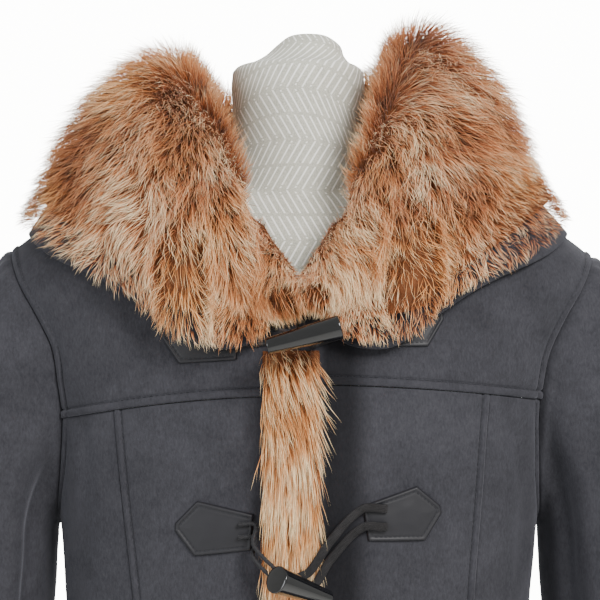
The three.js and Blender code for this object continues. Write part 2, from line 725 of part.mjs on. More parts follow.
// A toggle's middle, its axis from the left end to the right, and the cord's seat behind it
function toggleFrame({ toggle: [cx, cz, turn, swing], out, stand }) {
  const cordFront = 1.5 * STRAP.thick + 2 * CORD_RADIUS + 2.6 * SEAM;
  const middle = new THREE.Vector3(cx, -(bandFront(cz) + out + cordFront + TOGGLE.middle + stand), cz);
  const level = Math.cos(rad(swing));
  const axis = new THREE.Vector3(
    level * Math.cos(rad(turn)),
    Math.sin(rad(swing)),
    level * Math.sin(rad(turn)),
  );
  const inward = new THREE.Vector3(0, 1, 0).addScaledVector(axis, -axis.y).normalize();
  return { middle, axis, inward };
}

function toggleBody(row) {
  const { middle, axis, inward } = toggleFrame(row);
  const up = axis.clone().cross(inward);
  const [left, right] = row.ends;
  const stations = [-0.5, -0.48, 0, 0.48, 0.5];
  return loft(stations.map((s) => {
    const r = lerp(left, right, s + 0.5) - (Math.abs(s) === 0.5 ? TOGGLE.edge : 0);
    return Array.from({ length: 16 }, (_, j) => {
      const a = 2 * Math.PI * j / 16;
      return middle.clone().addScaledVector(axis, s * TOGGLE.length)
        .addScaledVector(up, r * Math.cos(a)).addScaledVector(inward, r * Math.sin(a));
    });
  }), false);
}

// A cord or strap along a smooth path, its section half sizes across and out
function strip(path, across, out, sides) {
  const line = new THREE.CatmullRomCurve3(path);
  const count = 2 * path.length;
  const rings = [];
  for (let i = 0; i <= count; i += 1) {
    const p = line.getPoint(i / count);
    const tangent = line.getTangent(i / count);
    const outward = new THREE.Vector3(0, -1, 0);
    outward.addScaledVector(tangent, -outward.dot(tangent)).normalize();
    const wide = tangent.clone().cross(outward);
    rings.push(Array.from({ length: sides }, (_, j) => {
      const a = 2 * Math.PI * (j + 0.5) / sides;
      const grow = sides === 4 ? Math.SQRT2 : 1;
      return p.clone().addScaledVector(wide, grow * across * Math.cos(a))
        .addScaledVector(outward, grow * out * Math.sin(a));
    }));
  }
  return loft(rings, false);
}

CLOSURES.forEach((row, index) => {
  const number = index + 1;
  const [tx, tz] = row.toggle;
  for (const [letter, where] of [['L', row.left], ['R', row.right]]) {
    const side = SIDES[letter];
    add(`patch_${letter}_${number}`, 'leather', slab(
      patchGrid(side, where, PATCH_WALL), patchGrid(side, where, 0)));
  }
  add(`toggle_${number}`, 'horn', toggleBody(row));
  const over = (x, z, by) => -(coatDepth('front', Math.abs(x), z) + by);
  const onPatch = 2.5 * SEAM + PATCH_GAP + PATCH_WALL + STRAP.thick;
  const ahead = bandFront(tz) + row.out + SEAM + STRAP.thick - coatDepth('front', 0, tz);
  const loopAhead = row.out > 0 ? ahead : ahead - LOOP_SINK;
  const inner = row.out > 0 ? onPatch - 0.6 : ahead / 2 + 5;
  const edges = row.out > 0 ? [-17, 15] : [BAND.left - 6, BAND.right + 8];
  const [rx, rz] = row.right;
  const strap = (dz) => [
    new THREE.Vector3(rx - 12, over(rx - 12, rz, onPatch), rz + dz),
    new THREE.Vector3(rx - 30, over(rx - 30, rz, onPatch + 1), rz + dz),
    new THREE.Vector3(edges[1], over(edges[1], tz, inner), lerp(tz, rz, 0.5 - row.low / 4) + dz),
    new THREE.Vector3(tx + 5, over(0, tz, loopAhead), tz + dz),
  ];
  add(`loop_R_${number}`, 'leather', strip([
    ...strap(6.5 - row.low),
    new THREE.Vector3(tx - 6, over(0, tz, loopAhead), tz),
    ...strap(row.low - 6.5).reverse(),
  ], STRAP.wide / 2 - 1, STRAP.thick / 2, 4));
  const [lx, lz] = row.left;
  const cordAhead = ahead + STRAP.thick / 2 + SEAM + CORD_RADIUS;
  const cord = (dz) => [
    new THREE.Vector3(lx + 18, over(lx + 18, lz, onPatch), lz + dz),
    new THREE.Vector3(lx + 30, over(lx + 30, lz, onPatch + 0.6), lz + dz),
    new THREE.Vector3(edges[0], over(edges[0], tz, inner), lerp(tz, lz, 0.6) + dz),
    new THREE.Vector3(tx - 12, over(0, tz, cordAhead), tz + dz * 0.7),
  ];
  const { middle, inward } = toggleFrame(row);
  const seat = middle.clone().addScaledVector(inward, TOGGLE.middle + SEAM + CORD_RADIUS + 0.3);
  const turnPoint = row.toggle[3] ? seat : new THREE.Vector3(tx + 1, over(0, tz, cordAhead), tz);
  add(`cord_L_${number}`, 'cord', strip([
    ...cord(4.5),
    turnPoint,
    ...cord(-4.5).reverse(),
  ], CORD_RADIUS, CORD_RADIUS, 6));
});

// The dress form: rings from its underside over the shoulders to the neck cap
function formRadius(angle, z) {
  const sin = Math.sin(rad(angle));
  const cos = Math.cos(rad(angle));
  const face = cos > 0 ? 'front' : 'back';
  const limit = curve(FORM, 'z', 'half', z);
  const deepest = curve(FORM, 'z', face, z);
  let inside = 0;
  let outside = 300;
  for (let i = 0; i < 40; i += 1) {
    const r = (inside + outside) / 2;
    const across = Math.min(r * sin / limit, 1);
    const deep = deepest * (1 - across ** FORM_ROUND) ** (1 / FORM_ROUND)
      * ridge(shoulderLine(r * sin) - FORM_GAP - z);
    if (across < 1 && Math.abs(r * cos) <= deep) inside = r;
    else outside = r;
  }
  const neck = curve(NECK, 'z', 'radius', z);
  return z < NECK[0].z ? inside : Math.max(inside, neck);
}
const quarter = [0, 14, 28, 41, 53, 63, 72, 79, 85];
const FORM_ANGLES = [...quarter, 90, ...quarter.map((a) => 180 - a).reverse()];
const FORM_RINGS = [745, 752, 800, 870, 940, 1000, 1060, 1120, 1170, 1220, 1270, 1300, 1320, 1334,
  1346, 1356, 1364, 1371, 1377, 1382, 1386, 1392, 1402, 1420, 1445, 1461, 1470];
function formRing(z, inset = 0) {
  const half = FORM_ANGLES.map((a) => {
    const r = formRadius(a, z) - inset;
    return new THREE.Vector3(r * Math.sin(rad(a)), -r * Math.cos(rad(a)), z);
  });
  const other = half.slice(1, -1).reverse().map((p) => new THREE.Vector3(-p.x, p.y, p.z));
  return [...half, ...other];
}
const capRing = ({ z, radius, aside }) => formRing(NECK[NECK.length - 1].z).map((p) => (
  new THREE.Vector3(p.x, p.y, 0).setLength(radius).add(new THREE.Vector3(aside, 0, z))));
add('dress_form', 'jersey', loft([
  formRing(FORM_BOTTOM, 10),
  ...FORM_RINGS.slice(1).map((z) => formRing(z)),
  ...CAP.map(capRing),
], false));

// Pole and base
const pole = new THREE.CylinderGeometry(
  POLE_RADIUS, POLE_RADIUS, FORM_BOTTOM - BASE.height - 2 * SEAM, 24);
pole.rotateX(Math.PI / 2);
pole.translate(0, 0, (FORM_BOTTOM + BASE.height) / 2);
add('stand_pole', 'stand', pole);
const profile = [
  [0, 0],
  [BASE.radius - BASE.edge / 2, 0],
  [BASE.radius, BASE.edge / 2],
  [BASE.radius, BASE.height - BASE.edge],
  [BASE.radius - BASE.edge, BASE.height],
  [0, BASE.height],
].map(([x, y]) => new THREE.Vector2(x, y));
const base = new THREE.LatheGeometry(profile, 48);
base.rotateX(Math.PI / 2);
add('stand_base', 'stand', base);

export default group;
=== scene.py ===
import math

import bmesh
import bpy
import numpy as np
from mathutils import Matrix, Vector


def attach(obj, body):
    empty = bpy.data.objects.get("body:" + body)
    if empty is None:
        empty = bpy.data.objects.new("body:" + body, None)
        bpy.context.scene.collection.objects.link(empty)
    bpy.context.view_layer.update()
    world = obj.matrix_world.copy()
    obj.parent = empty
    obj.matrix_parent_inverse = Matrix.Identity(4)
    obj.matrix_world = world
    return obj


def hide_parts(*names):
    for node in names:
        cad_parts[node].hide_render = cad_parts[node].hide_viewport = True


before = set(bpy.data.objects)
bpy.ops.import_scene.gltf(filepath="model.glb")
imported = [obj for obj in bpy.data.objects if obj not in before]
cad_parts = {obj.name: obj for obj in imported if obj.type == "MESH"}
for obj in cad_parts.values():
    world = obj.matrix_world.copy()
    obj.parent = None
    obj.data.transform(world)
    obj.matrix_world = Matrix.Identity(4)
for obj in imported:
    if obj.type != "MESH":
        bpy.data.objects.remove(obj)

bl_info = {
    "name": "Hooded winter coat looks",
    "version": (1, 0, 0),
    "blender": (4, 5, 0),
    "location": "3D View > Sidebar > Coat",
    "description": "Builds the cloth, fur, closures, dress form and stage round the packed coat",
    "category": "Object",
}

MM = 0.001
RNG_SEED = 41
FORWARD = np.array([0.0, -1.0, 0.0])

# The coat's sections in millimetres: height, half width, depth of the front, depth of the back
BODY = np.array([
    (555, 216, 136, 130),
    (735, 203, 126, 117),
    (870, 189, 119, 105),
    (1000, 175, 113, 95),
    (1060, 179, 114, 97),
    (1125, 183, 117, 102),
    (1205, 190, 118, 108),
    (1255, 206, 113, 110),
    (1305, 240, 102, 108),
    (1345, 262, 96, 104),
    (1400, 275, 94, 100),
], float)

# The dress form's sections, with the same columns
FORM = np.array([
    (745, 148, 92, 98),
    (800, 158, 98, 104),
    (870, 152, 94, 94),
    (940, 134, 86, 82),
    (1000, 122, 82, 74),
    (1060, 128, 90, 78),
    (1120, 142, 102, 84),
    (1170, 150, 108, 90),
    (1220, 156, 106, 94),
    (1260, 165, 102, 96),
    (1305, 174, 93, 96),
    (1345, 177, 88, 94),
    (1400, 178, 86, 92),
], float)

# The form's neck: height, radius
NECK = np.array([
    (1368, 66), (1380, 59), (1395, 54), (1412, 51.5), (1440, 51), (1458, 52), (1470, 51),
], float)

# The cap over the neck: ring, height, radius, shift towards the viewer's right
CAP = np.array([
    (0, 1470, 51, 0), (1, 1474, 47, 0), (2, 1477, 39, 2), (3, 1483, 31, 5), (4, 1491, 25, 8),
    (5, 1498, 16, 8), (6, 1500, 7, 8),
], float)

# Each side's armhole edge and princess seam: height, distance from the middle
ARMHOLE = {
    "L": np.array([(1125, 183), (1165, 178), (1205, 175), (1230, 177), (1255, 181), (1280, 192),
                   (1305, 207), (1332, 221)], float),
    "R": np.array([(1125, 183), (1165, 180), (1205, 180), (1230, 182), (1255, 187), (1280, 199),
                   (1305, 214), (1327, 227)], float),
}
PRINCESS = {
    "L": np.array([(555, 140), (735, 129), (870, 120), (1000, 114), (1080, 119), (1150, 127),
                   (1215, 133)], float),
    "R": np.array([(555, 150), (735, 138), (870, 129), (1000, 124), (1080, 128), (1150, 133),
                   (1225, 139)], float),
}
YOKE = {"L": (1225, 20), "R": (1233, 13)}
SIGN = {"L": -1.0, "R": 1.0}

# Skirt folds: side, plan angle, width, height at the hem, where it starts
FOLDS = [
    (-1, 38, 12, 5, 1010), (-1, 74, 12, 7, 1050), (-1, 128, 14, 8, 1020),
    (1, 50, 13, 6, 1030), (1, 84, 12, 7, 1060), (1, 140, 14, 8, 1000), (1, 172, 12, 5, 980),
]

# Sleeve sections: height, middle across, middle in depth, half width, half depth
SLEEVE = np.array([
    (735, 260, -26, 41, 63), (795, 257, -21, 43, 65), (850, 254, -16, 45, 68),
    (900, 251, -11, 47, 71), (940, 249, -7, 50, 74), (975, 247, -5, 48, 73),
    (1020, 244, -2, 50, 74), (1070, 241, 0, 51, 76), (1108, 238, 2, 50, 79),
], float)

# The folded hood: plan angle, clearance, six radii, six heights, three fur depths
HOOD = np.array([
    (3, 6, 106, 109, 114, 118, 120, 0, 1308, 1311, 1310, 1304, 1298, 1290, 3, 12, 20),
    (8, 10, 106, 109, 115, 119, 121, 0, 1318, 1322, 1322, 1312, 1298, 1284, 3, 17, 22),
    (13, 12.5, 105, 108, 115, 120, 0, 0, 1328, 1336, 1336, 1321, 1294, 1266, 3, 20, 25),
    (21, 12.5, 103, 106, 114, 124, 0, 0, 1343, 1355, 1358, 1338, 1300, 1259, 3, 25, 28),
    (30, 12.5, 99, 101, 110, 127, 138, 0, 1360, 1378, 1386, 1358, 1308, 1261, 4, 27, 28),
    (40, 12.5, 95, 95, 107, 130, 148, 0, 1379, 1402, 1413, 1385, 1330, 1279, 5, 27, 28),
    (52, 9, 88, 88, 104, 134, 160, 0, 1391, 1417, 1435, 1407, 1352, 1301, 8, 28, 28),
    (66, 6.3, 84, 84, 102, 138, 168, 0, 1396, 1431, 1453, 1426, 1374, 1324, 13, 28, 27),
    (80, 6.3, 79.5, 82, 100, 140, 174, 0, 1395, 1438, 1464, 1437, 1390, 1342, 19, 28, 26),
    (95, 6.3, 79.5, 82, 100, 140, 176, 0, 1395, 1440, 1465, 1440, 1396, 1350, 21, 28, 26),
    (115, 6.3, 81, 84, 103, 140, 172, 190, 1396, 1438, 1460, 1436, 1392, 1348, 19, 28, 26),
    (140, 6.3, 85, 88, 108, 140, 166, 182, 1393, 1426, 1446, 1424, 1384, 1342, 16, 27, 25),
    (180, 6.3, 92, 95, 114, 142, 162, 172, 1388, 1406, 1422, 1403, 1368, 1332, 14, 24, 24),
], float)
LIFT = {"L": 1.0, "R": 1.26}
REACH = {"L": 1.0, "R": 0.96}

# The pouch at the back: height, half width, half depth
POUCH = np.array([
    (1206, 26, 5), (1216, 60, 11), (1233, 84, 16), (1258, 103, 20), (1288, 115, 22),
    (1318, 119, 22), (1345, 116, 19),
], float)

# Closures: where each patch lies and its turn; the toggle's middle, turn and swing of its left
# end forwards; how far it stands ahead of the cord; its radii at both ends; the strap's squeeze
CLOSURES = [
    {"left": (-70, 1266, -6), "right": (77, 1277, 10), "toggle": (4, 1268, 15, 0), "out": 10, "low": 2,
     "stand": 0.6, "ends": (5.6, 8.4)},
    {"left": (-60, 1130, -3), "right": (75, 1139, 9), "toggle": (3, 1098, -28, 40), "out": 0, "low": 0,
     "stand": 18, "ends": (9.4, 5.4)},
    {"left": (-60, 988, 2), "right": (74, 993, 4), "toggle": (0, 966, -8, 0), "out": 0, "low": 0,
     "stand": 0.9, "ends": (8.6, 5.4)},
    {"left": (-60, 846, -2), "right": (75, 850, 5), "toggle": (-2, 822, 6, 0), "out": 0, "low": 0,
     "stand": 0.9, "ends": (8.6, 5.4)},
]

# Heights of the hem, cuffs, sleeve tables' top, underarm and shoulder, and of the form's neck
HEM_Z, CUFF_Z, ARM_TOP, UNDERARM_Z, SHOULDER_Z, FORM_NECK_Z = 555.0, 735, 1108, 1125.0, 1392.0, 1368
NECK_HALF, YOKE_HALF = 75.0, 175
# The sections' superellipse powers, how far the form lies under the coat, and half a seam's gap
ROUND, FORM_ROUND, FORM_GAP, SEAM = 2.4, 2.6, 4.3, 0.2
# A cloth edge's turned-in depth, and the hood's least clearance of the coat
TURN_IN, HOOD_CLEAR = 1.7, 2.6
# Half a patch's length, where it is widest, and its half widths inside, there and at the tip
PATCH_HALF, PATCH_WIDEST, PATCH_SIDES = 28, 12.9, (13, 20, 2.6)
PATCH_STITCH, TOGGLE_LONG, TOGGLE_RADIUS, STRAP_HALF, CORD_HALF = 3.4, 52, 7, 1.8, 1.5
BAND_HIGH, LOOP_SINK, UNDER_FUR_END = 22, 0.95, 0.9
CHEVRON = 38.8


# Shape of the coat, in millimetres

def curve(table, column, at):
    """A smooth curve through a table's rows: a cubic between neighbours, its slopes those of the chords."""
    xs, ys = table[:, 0], table[:, column]
    at = np.clip(np.asarray(at, float), xs[0], xs[-1])
    rows = np.arange(len(xs))
    before, after = np.maximum(rows - 1, 0), np.minimum(rows + 1, len(xs) - 1)
    slopes = (ys[after] - ys[before]) / (xs[after] - xs[before])
    i = np.clip(np.searchsorted(xs, at, side="right") - 1, 0, len(xs) - 2)
    span = xs[i + 1] - xs[i]
    t = (at - xs[i]) / span
    return ((2 * t**3 - 3 * t**2 + 1) * ys[i] + (t**3 - 2 * t**2 + t) * span * slopes[i]
            + (3 * t**2 - 2 * t**3) * ys[i + 1] + (t**3 - t**2) * span * slopes[i + 1])


def smooth(low, high, value):
    """0 below low, 1 above high, and a cubic step between."""
    t = np.clip((value - low) / (high - low), 0, 1)
    return t * t * (3 - 2 * t)


def shoulder_line(x):
    """The shoulder's height falls with the 1.8th power of the run beyond the neck."""
    return SHOULDER_Z - 64 * (np.maximum(x - NECK_HALF, 0) / 150) ** 1.8


def ridge(drop):
    """A quarter circle's rise over the 60 mm below the shoulder line."""
    return np.sqrt(np.maximum(1 - (1 - np.clip(drop / 60, 0, 1)) ** 2, 0))


def coat_depth(face, x, z):
    """A superellipse across the section, closed over the shoulder by the ridge."""
    column = 2 if face == "front" else 3
    across = np.clip(x / curve(BODY, 1, z), 0, 1)
    rounded = np.maximum(1 - across**ROUND, 0) ** (1 / ROUND)
    return curve(BODY, column, z) * rounded * ridge(shoulder_line(x) - z)


def radius_of(table, power, grow, line, angle, z):
    """The section's radius along a plan angle, found by halving."""
    sin, cos = np.sin(np.radians(angle)), np.cos(np.radians(angle))
    limit = curve(table, 1, z) + grow
    deepest = np.where(cos > 0, curve(table, 2, z), curve(table, 3, z)) + grow
    inside, outside = np.zeros_like(z), np.full_like(z, 400.0)
    for _ in range(24):
        r = (inside + outside) / 2
        across = np.clip(r * sin / limit, 0, 1)
        deep = deepest * np.maximum(1 - across**power, 0) ** (1 / power)
        deep = deep * ridge(shoulder_line(r * sin) + line - z)
        held = (across < 1) & (np.abs(r * cos) <= deep)
        inside, outside = np.where(held, r, inside), np.where(held, outside, r)
    return inside


def coat_radius(angle, z, grow):
    """The coat's radius grown by a clearance, and 0 above the shoulders."""
    r = radius_of(BODY, ROUND, grow, grow, angle, z)
    return np.where(z < SHOULDER_Z, r, 0)


def form_radius(angle, z):
    """The form's radius: its shoulders, or its neck where that is wider."""
    r = radius_of(FORM, FORM_ROUND, 0.0, -FORM_GAP, angle, z)
    return np.where(z < FORM_NECK_Z, r, np.maximum(r, curve(NECK, 1, z)))


def yoke_seam(side, x):
    middle, fall = YOKE[side]
    return middle - fall * (x / YOKE_HALF) ** 2


def neck_drop(face, x):
    inside = np.clip(1 - x / NECK_HALF, 0, 1)
    if face == "front":
        return 92 * inside**0.9
    return 14 * np.sqrt(1 - np.clip(x / NECK_HALF, 0, 1) ** 2)


def turn_at(x, z):
    return np.arcsin(np.clip(x / curve(BODY, 1, z), 0, 1) ** (ROUND / 2))


def edge_turn(side, z):
    return np.where(z <= UNDERARM_Z, math.pi / 2, turn_at(curve(ARMHOLE[side], 1, z), z))


def fold_lift(x, y, z):
    """How far the hanging folds lift the cloth: bell shapes in the plan angle, growing to the hem."""
    angle = np.degrees(np.arctan2(np.abs(x), -y))
    lift = np.zeros_like(z)
    for sign, at, wide, high, top in FOLDS:
        grow = np.clip((top - z) / (top - HEM_Z), 0, 1)
        lift += np.where(x * sign >= 0, high * grow * np.exp(-(((angle - at) / wide) ** 2)), 0)
    return lift


def body_point(side, face, x, z, out=SEAM):
    """A point of the coat's outer face at a width and height, moved out by a distance."""
    y = (coat_depth(face, x, z) + out) * (-1 if face == "front" else 1)
    lift = 1 + fold_lift(SIGN[side] * x, y, z) / np.hypot(x, y)
    return np.stack([SIGN[side] * x * lift, y * lift, z], -1)


def upper_point(side, face, u, v):
    """From the shoulder line (v 0) to the yoke seam's height (v 1), across to the armhole (u 1)."""
    z = yoke_seam(side, YOKE_HALF * u)
    for _ in range(40):
        x = curve(BODY, 1, z) * np.sin(u * edge_turn(side, z)) ** (2 / ROUND)
        top = shoulder_line(x) - neck_drop(face, x)
        z = (z + top + (yoke_seam(side, x) - top) * v) / 2
    x = curve(BODY, 1, z) * np.sin(u * edge_turn(side, z)) ** (2 / ROUND)
    return body_point(side, face, x, z)


def lower_point(side, face, start, end, u, level):
    """Between two seams given as turns round the section, from the yoke seam down to the hem."""
    base = yoke_seam(side, 0)
    x = YOKE_HALF * u
    for _ in range(12):
        held = np.clip((level - 1160) / (base - 1160), 0, 1)
        z = level + (yoke_seam(side, x) - base) * held
        turn = start(z) + (end(z) - start(z)) * u
        x = curve(BODY, 1, z) * np.sin(turn) ** (2 / ROUND)
    return body_point(side, face, x, z)


# Meshes

def run_of(path):
    """Each point's distance along a path."""
    return np.pad(np.cumsum(np.linalg.norm(np.diff(path, axis=0), axis=1)), (1, 0))


def unit(v):
    """Vectors brought to length 1, and left at 0 where they have none."""
    return v / np.maximum(np.linalg.norm(v, axis=-1, keepdims=True), 1e-9)


def spaced(length, coarse, near_low, near_high, fine=0.8, reach=10.0):
    """Positions from 0 to 1 along a length: fine steps near the chosen ends and coarse ones between."""
    low = np.arange(0, reach, fine) if near_low else np.array([0.0])
    high = length - np.arange(0, reach, fine)[::-1] if near_high else np.array([length])
    count = max(int((high[0] - low[-1]) / coarse), 2)
    middle = np.linspace(low[-1], high[0], count + 1)[1:-1]
    return np.concatenate([low, middle, high]) / length


def mesh_object(name, points, faces, material, smooth_faces=True, uv=None):
    """An object from metre points and equal-sided faces, its UV map given per point."""
    me = bpy.data.meshes.new(name)
    points = np.asarray(points, np.float32).reshape(-1, 3)
    faces = np.asarray(faces, np.int32)
    sides = faces.shape[1]
    me.vertices.add(len(points))
    me.vertices.foreach_set("co", points.ravel())
    me.loops.add(faces.size)
    me.loops.foreach_set("vertex_index", faces.ravel())
    me.polygons.add(len(faces))
    me.polygons.foreach_set("loop_start", np.arange(0, faces.size, sides, dtype=np.int32))
    me.update(calc_edges=True)
    me.polygons.foreach_set("use_smooth", np.full(len(faces), smooth_faces))
    for layer, values in (uv or {}).items():
        data = me.uv_layers.new(name=layer)
        data.data.foreach_set("uv", np.asarray(values, np.float32).reshape(-1, 2)[faces.ravel()].ravel())
    me.validate()
    me.update()
    obj = bpy.data.objects.new(name, me)
    bpy.context.scene.collection.objects.link(obj)
    me.materials.append(material)
    return obj


def grid_faces(rows, columns, around=False):
    """Quads of a grid of points, joined round its columns if asked."""
    i, j = np.meshgrid(np.arange(rows - 1), np.arange(columns if around else columns - 1), indexing="ij")
    k = (j + 1) % columns
    quads = np.stack([i * columns + j, i * columns + k, (i + 1) * columns + k, (i + 1) * columns + j], -1)
    return quads.reshape(-1, 4)


def grid_normals(p, around=False):
    """Unit normals of a grid of points, from the differences of its neighbours."""
    if around:
        across = np.roll(p, -1, 1) - np.roll(p, 1, 1)
    else:
        across = np.gradient(p, axis=1)
    normal = np.cross(across, np.gradient(p, axis=0))
    return unit(normal)


def edge_runs(p):
    """Each grid point's distance along the cloth to the left, right, top and bottom edges."""
    across = np.linalg.norm(np.diff(p, axis=1), axis=-1)
    down = np.linalg.norm(np.diff(p, axis=0), axis=-1)
    left = np.pad(np.cumsum(across, 1), ((0, 0), (1, 0)))
    top = np.pad(np.cumsum(down, 0), ((1, 0), (0, 0)))
    return left, left[:, -1:] - left, top, top[-1:] - top


def waves(p, seed, size, count=6):
    """Slow unevenness from a few seeded sines running through the space."""
    rng = np.random.default_rng(seed)
    total = 0
    for _ in range(count):
        way = rng.normal(size=3)
        way /= np.linalg.norm(way) * size * rng.uniform(0.6, 1.5)
        total = total + np.sin(p @ way * 2 * math.pi + rng.uniform(0, 6.28))
    return total / count


def crease(x, z, x0, z0, x1, z1, wide, high):
    """A ridge or valley along a line: a bell across it that fades past its ends."""
    along = np.array([x1 - x0, z1 - z0])
    length = np.hypot(*along)
    along = along / length
    s = (x - x0) * along[0] + (z - z0) * along[1]
    off = (x - x0) * along[1] - (z - z0) * along[0]
    bend = off + 6 * np.sin(s / length * 3.0)
    fade = length * 0.25
    ends = np.exp(-(np.minimum(s, 0) / fade) ** 2 - (np.maximum(s - length, 0) / fade) ** 2)
    return high * np.exp(-(bend / wide) ** 2) * ends


# Creases on the front, listed one by one: x, z at both ends, width, height
FRONT_CREASES = [
    (158, 1200, 166, 1100, 7, -2.6), (172, 1190, 176, 1100, 8, 1.6), (150, 1330, 162, 1275, 11, -2.8),
    (168, 1330, 176, 1285, 9, 1.8), (120, 1300, 160, 1245, 13, 1.4), (-150, 1325, -168, 1270, 12, -2.2),
    (-128, 1300, -160, 1240, 14, 1.5), (-60, 1215, -72, 1160, 16, 0.9), (60, 1222, 74, 1172, 16, 0.9),
    (-158, 1190, -164, 1080, 8, -1.8), (-104, 1200, -96, 1090, 18, 0.9), (100, 1205, 96, 1090, 18, 0.9),
    (-40, 1110, -60, 1010, 14, 1.2), (45, 1110, 66, 1010, 14, 1.2), (-150, 1060, -90, 1000, 13, 1.6),
    (150, 1055, 92, 1000, 13, 1.5), (-165, 1010, -120, 965, 12, -1.5), (165, 1005, 118, 955, 12, -1.6),
    (-70, 980, -90, 700, 20, 2.2), (64, 980, 92, 690, 20, 2.0), (-128, 930, -150, 600, 22, 2.6),
    (126, 930, 152, 590, 22, 2.4),
]
BACK_CREASES = [
    (-120, 1240, -60, 1200, 16, 1.6), (118, 1238, 52, 1196, 16, 1.5), (-90, 1060, 10, 1030, 12, 1.8),
    (80, 1050, -20, 1012, 12, -1.4), (-60, 1008, 70, 990, 11, 1.5), (-110, 960, -128, 610, 22, 2.6),
    (30, 940, 44, 600, 24, 2.4), (120, 950, 140, 600, 22, -2.2), (-30, 930, -40, 620, 20, -2.0),
    (-150, 1190, -165, 1110, 10, -2.0), (150, 1190, 166, 1105, 10, -2.0),
]


def relief(p, face, seed):
    """The cloth's creases and slow unevenness as a height above its outer face."""
    lines = FRONT_CREASES if face == "front" else BACK_CREASES
    height = 0.55 * waves(p, seed, 95) + 0.25 * waves(p, seed + 1, 38)
    for line in lines:
        height = height + crease(p[..., 0], p[..., 2], *line)
    return height


def welt(run, wide, high=1.5):
    """A topstitched edge: padded up to its stitch line, with a groove there and a soft rise past it."""
    crown = 0.75 + 0.25 * np.sin(np.clip(run / wide, 0, 1) * 3.14)
    padded = high * (1 - smooth(wide - 1.0, wide + 0.6, run)) * crown
    return padded + 0.5 * smooth(wide, wide + 5, run) - 1.1 * np.exp(-(((run - wide - 0.2) / 0.8) ** 2))


def sheet_object(name, p, normals, material, around=False):
    """A cloth face whose edges turn in by its thickness; around keeps the columns joined."""
    pad = ((1, 1), (0, 0), (0, 0)) if around else ((1, 1), (1, 1), (0, 0))
    q = np.pad(p, pad, mode="edge")
    n = np.pad(normals, pad, mode="edge")
    inward = np.zeros(q.shape[:2], bool)
    inward[[0, -1]] = True
    if not around:
        inward[:, [0, -1]] = True
    q = q - n * inward[..., None] * TURN_IN
    return mesh_object(name, q * MM, grid_faces(*q.shape[:2], around), material)


# Thread and stitches

def stitches(path, normals, pitch=4.6, long=3.3, wide=0.55):
    """Thread along a path: a low bar with sloped ends for each stitch."""
    run = run_of(path)
    at = np.arange(pitch, run[-1] - pitch, pitch)

    def pick(values, s):
        return np.stack([np.interp(s, run, values[:, k]) for k in range(3)], -1)

    a, b = pick(path, at - long / 2), pick(path, at + long / 2)
    n = pick(normals, at)
    along = unit(b - a)
    side = np.cross(along, n) * wide / 2
    low, high = n * 0.15, n * 0.75
    near, far = (a * 0.8 + b * 0.2) + high, (a * 0.2 + b * 0.8) + high
    bump = [a + low - side, a + low + side, near + side * 0.8, near - side * 0.8,
            far - side * 0.8, far + side * 0.8, b + low + side, b + low - side]
    points = np.stack(bump, 1)
    faces = np.array([(0, 1, 2, 3), (3, 2, 5, 4), (4, 5, 6, 7)])
    faces = (faces[None] + (np.arange(len(at)) * 8)[:, None, None]).reshape(-1, 4)
    return points.reshape(-1, 3) * MM, faces


class Threads:
    """Collects stitches into one mesh."""

    def __init__(self):
        self.points, self.faces, self.count = [], [], 0

    def add(self, path, normals, **sizes):
        points, faces = stitches(path, normals, **sizes)
        self.points.append(points)
        self.faces.append(faces + self.count)
        self.count += len(points)

    def build(self, name, material):
        return mesh_object(name, np.concatenate(self.points), np.concatenate(self.faces), material, False)


# Materials

def srgb(r, g, b):
    """A linear colour from display values of 0 to 255."""
    c = np.array([r, g, b]) / 255
    return (*(float(x) for x in np.where(c <= 0.04045, c / 12.92, ((c + 0.055) / 1.055) ** 2.4)), 1.0)


def grey(value):
    return (value, value, value, 1)


class Tree:
    """Adds nodes to a material or a group: a socket given as an input is linked, any other is its value."""

    def __init__(self, tree):
        self.tree = tree

    def add(self, kind, inputs=None, **settings):
        node = self.tree.nodes.new(kind)
        for key, value in settings.items():
            setattr(node, key, value)
        return self.given(node, inputs or {})

    def given(self, node, inputs):
        for key, value in inputs.items():
            if isinstance(value, bpy.types.NodeSocket):
                self.tree.links.new(value, node.inputs[key])
            else:
                node.inputs[key].default_value = value
        return node

    def math(self, operation, a, b=0.0, c=0.0):
        return self.add("ShaderNodeMath", {0: a, 1: b, 2: c}, operation=operation).outputs[0]

    def noise(self, vector, scale, detail=3.0, rough=0.55, twist=0.0):
        inputs = {"Vector": vector, "Scale": scale, "Detail": detail, "Roughness": rough,
                  "Distortion": twist}
        return self.add("ShaderNodeTexNoise", inputs).outputs[0]

    def mix(self, factor, a, b):
        return self.add("ShaderNodeMix", {0: factor, 6: a, 7: b}, data_type="RGBA").outputs[2]

    def step(self, value, low, high):
        """0 up to low and 1 from high on, smooth between; high may be the lesser."""
        inputs = {0: value, 1: low, 2: high, 3: 0.0, 4: 1.0}
        return self.add("ShaderNodeMapRange", inputs, interpolation_type="SMOOTHSTEP").outputs[0]

    def parts_of(self, uv_map):
        """The two values of a UV map."""
        uv = self.add("ShaderNodeUVMap", uv_map=uv_map).outputs[0]
        return self.add("ShaderNodeSeparateXYZ", {0: uv}).outputs

    def scaled(self, vector, x, y, z):
        return self.add("ShaderNodeMapping", {"Vector": vector, "Scale": (x, y, z)}).outputs[0]

    def ramp(self, factor, stops):
        node = self.add("ShaderNodeValToRGB", {"Fac": factor})
        points = node.color_ramp.elements
        while len(points) < len(stops):
            points.new(0.5)
        for point, (at, colour) in zip(points, stops):
            point.position = at
            point.color = colour
        return node.outputs[0]


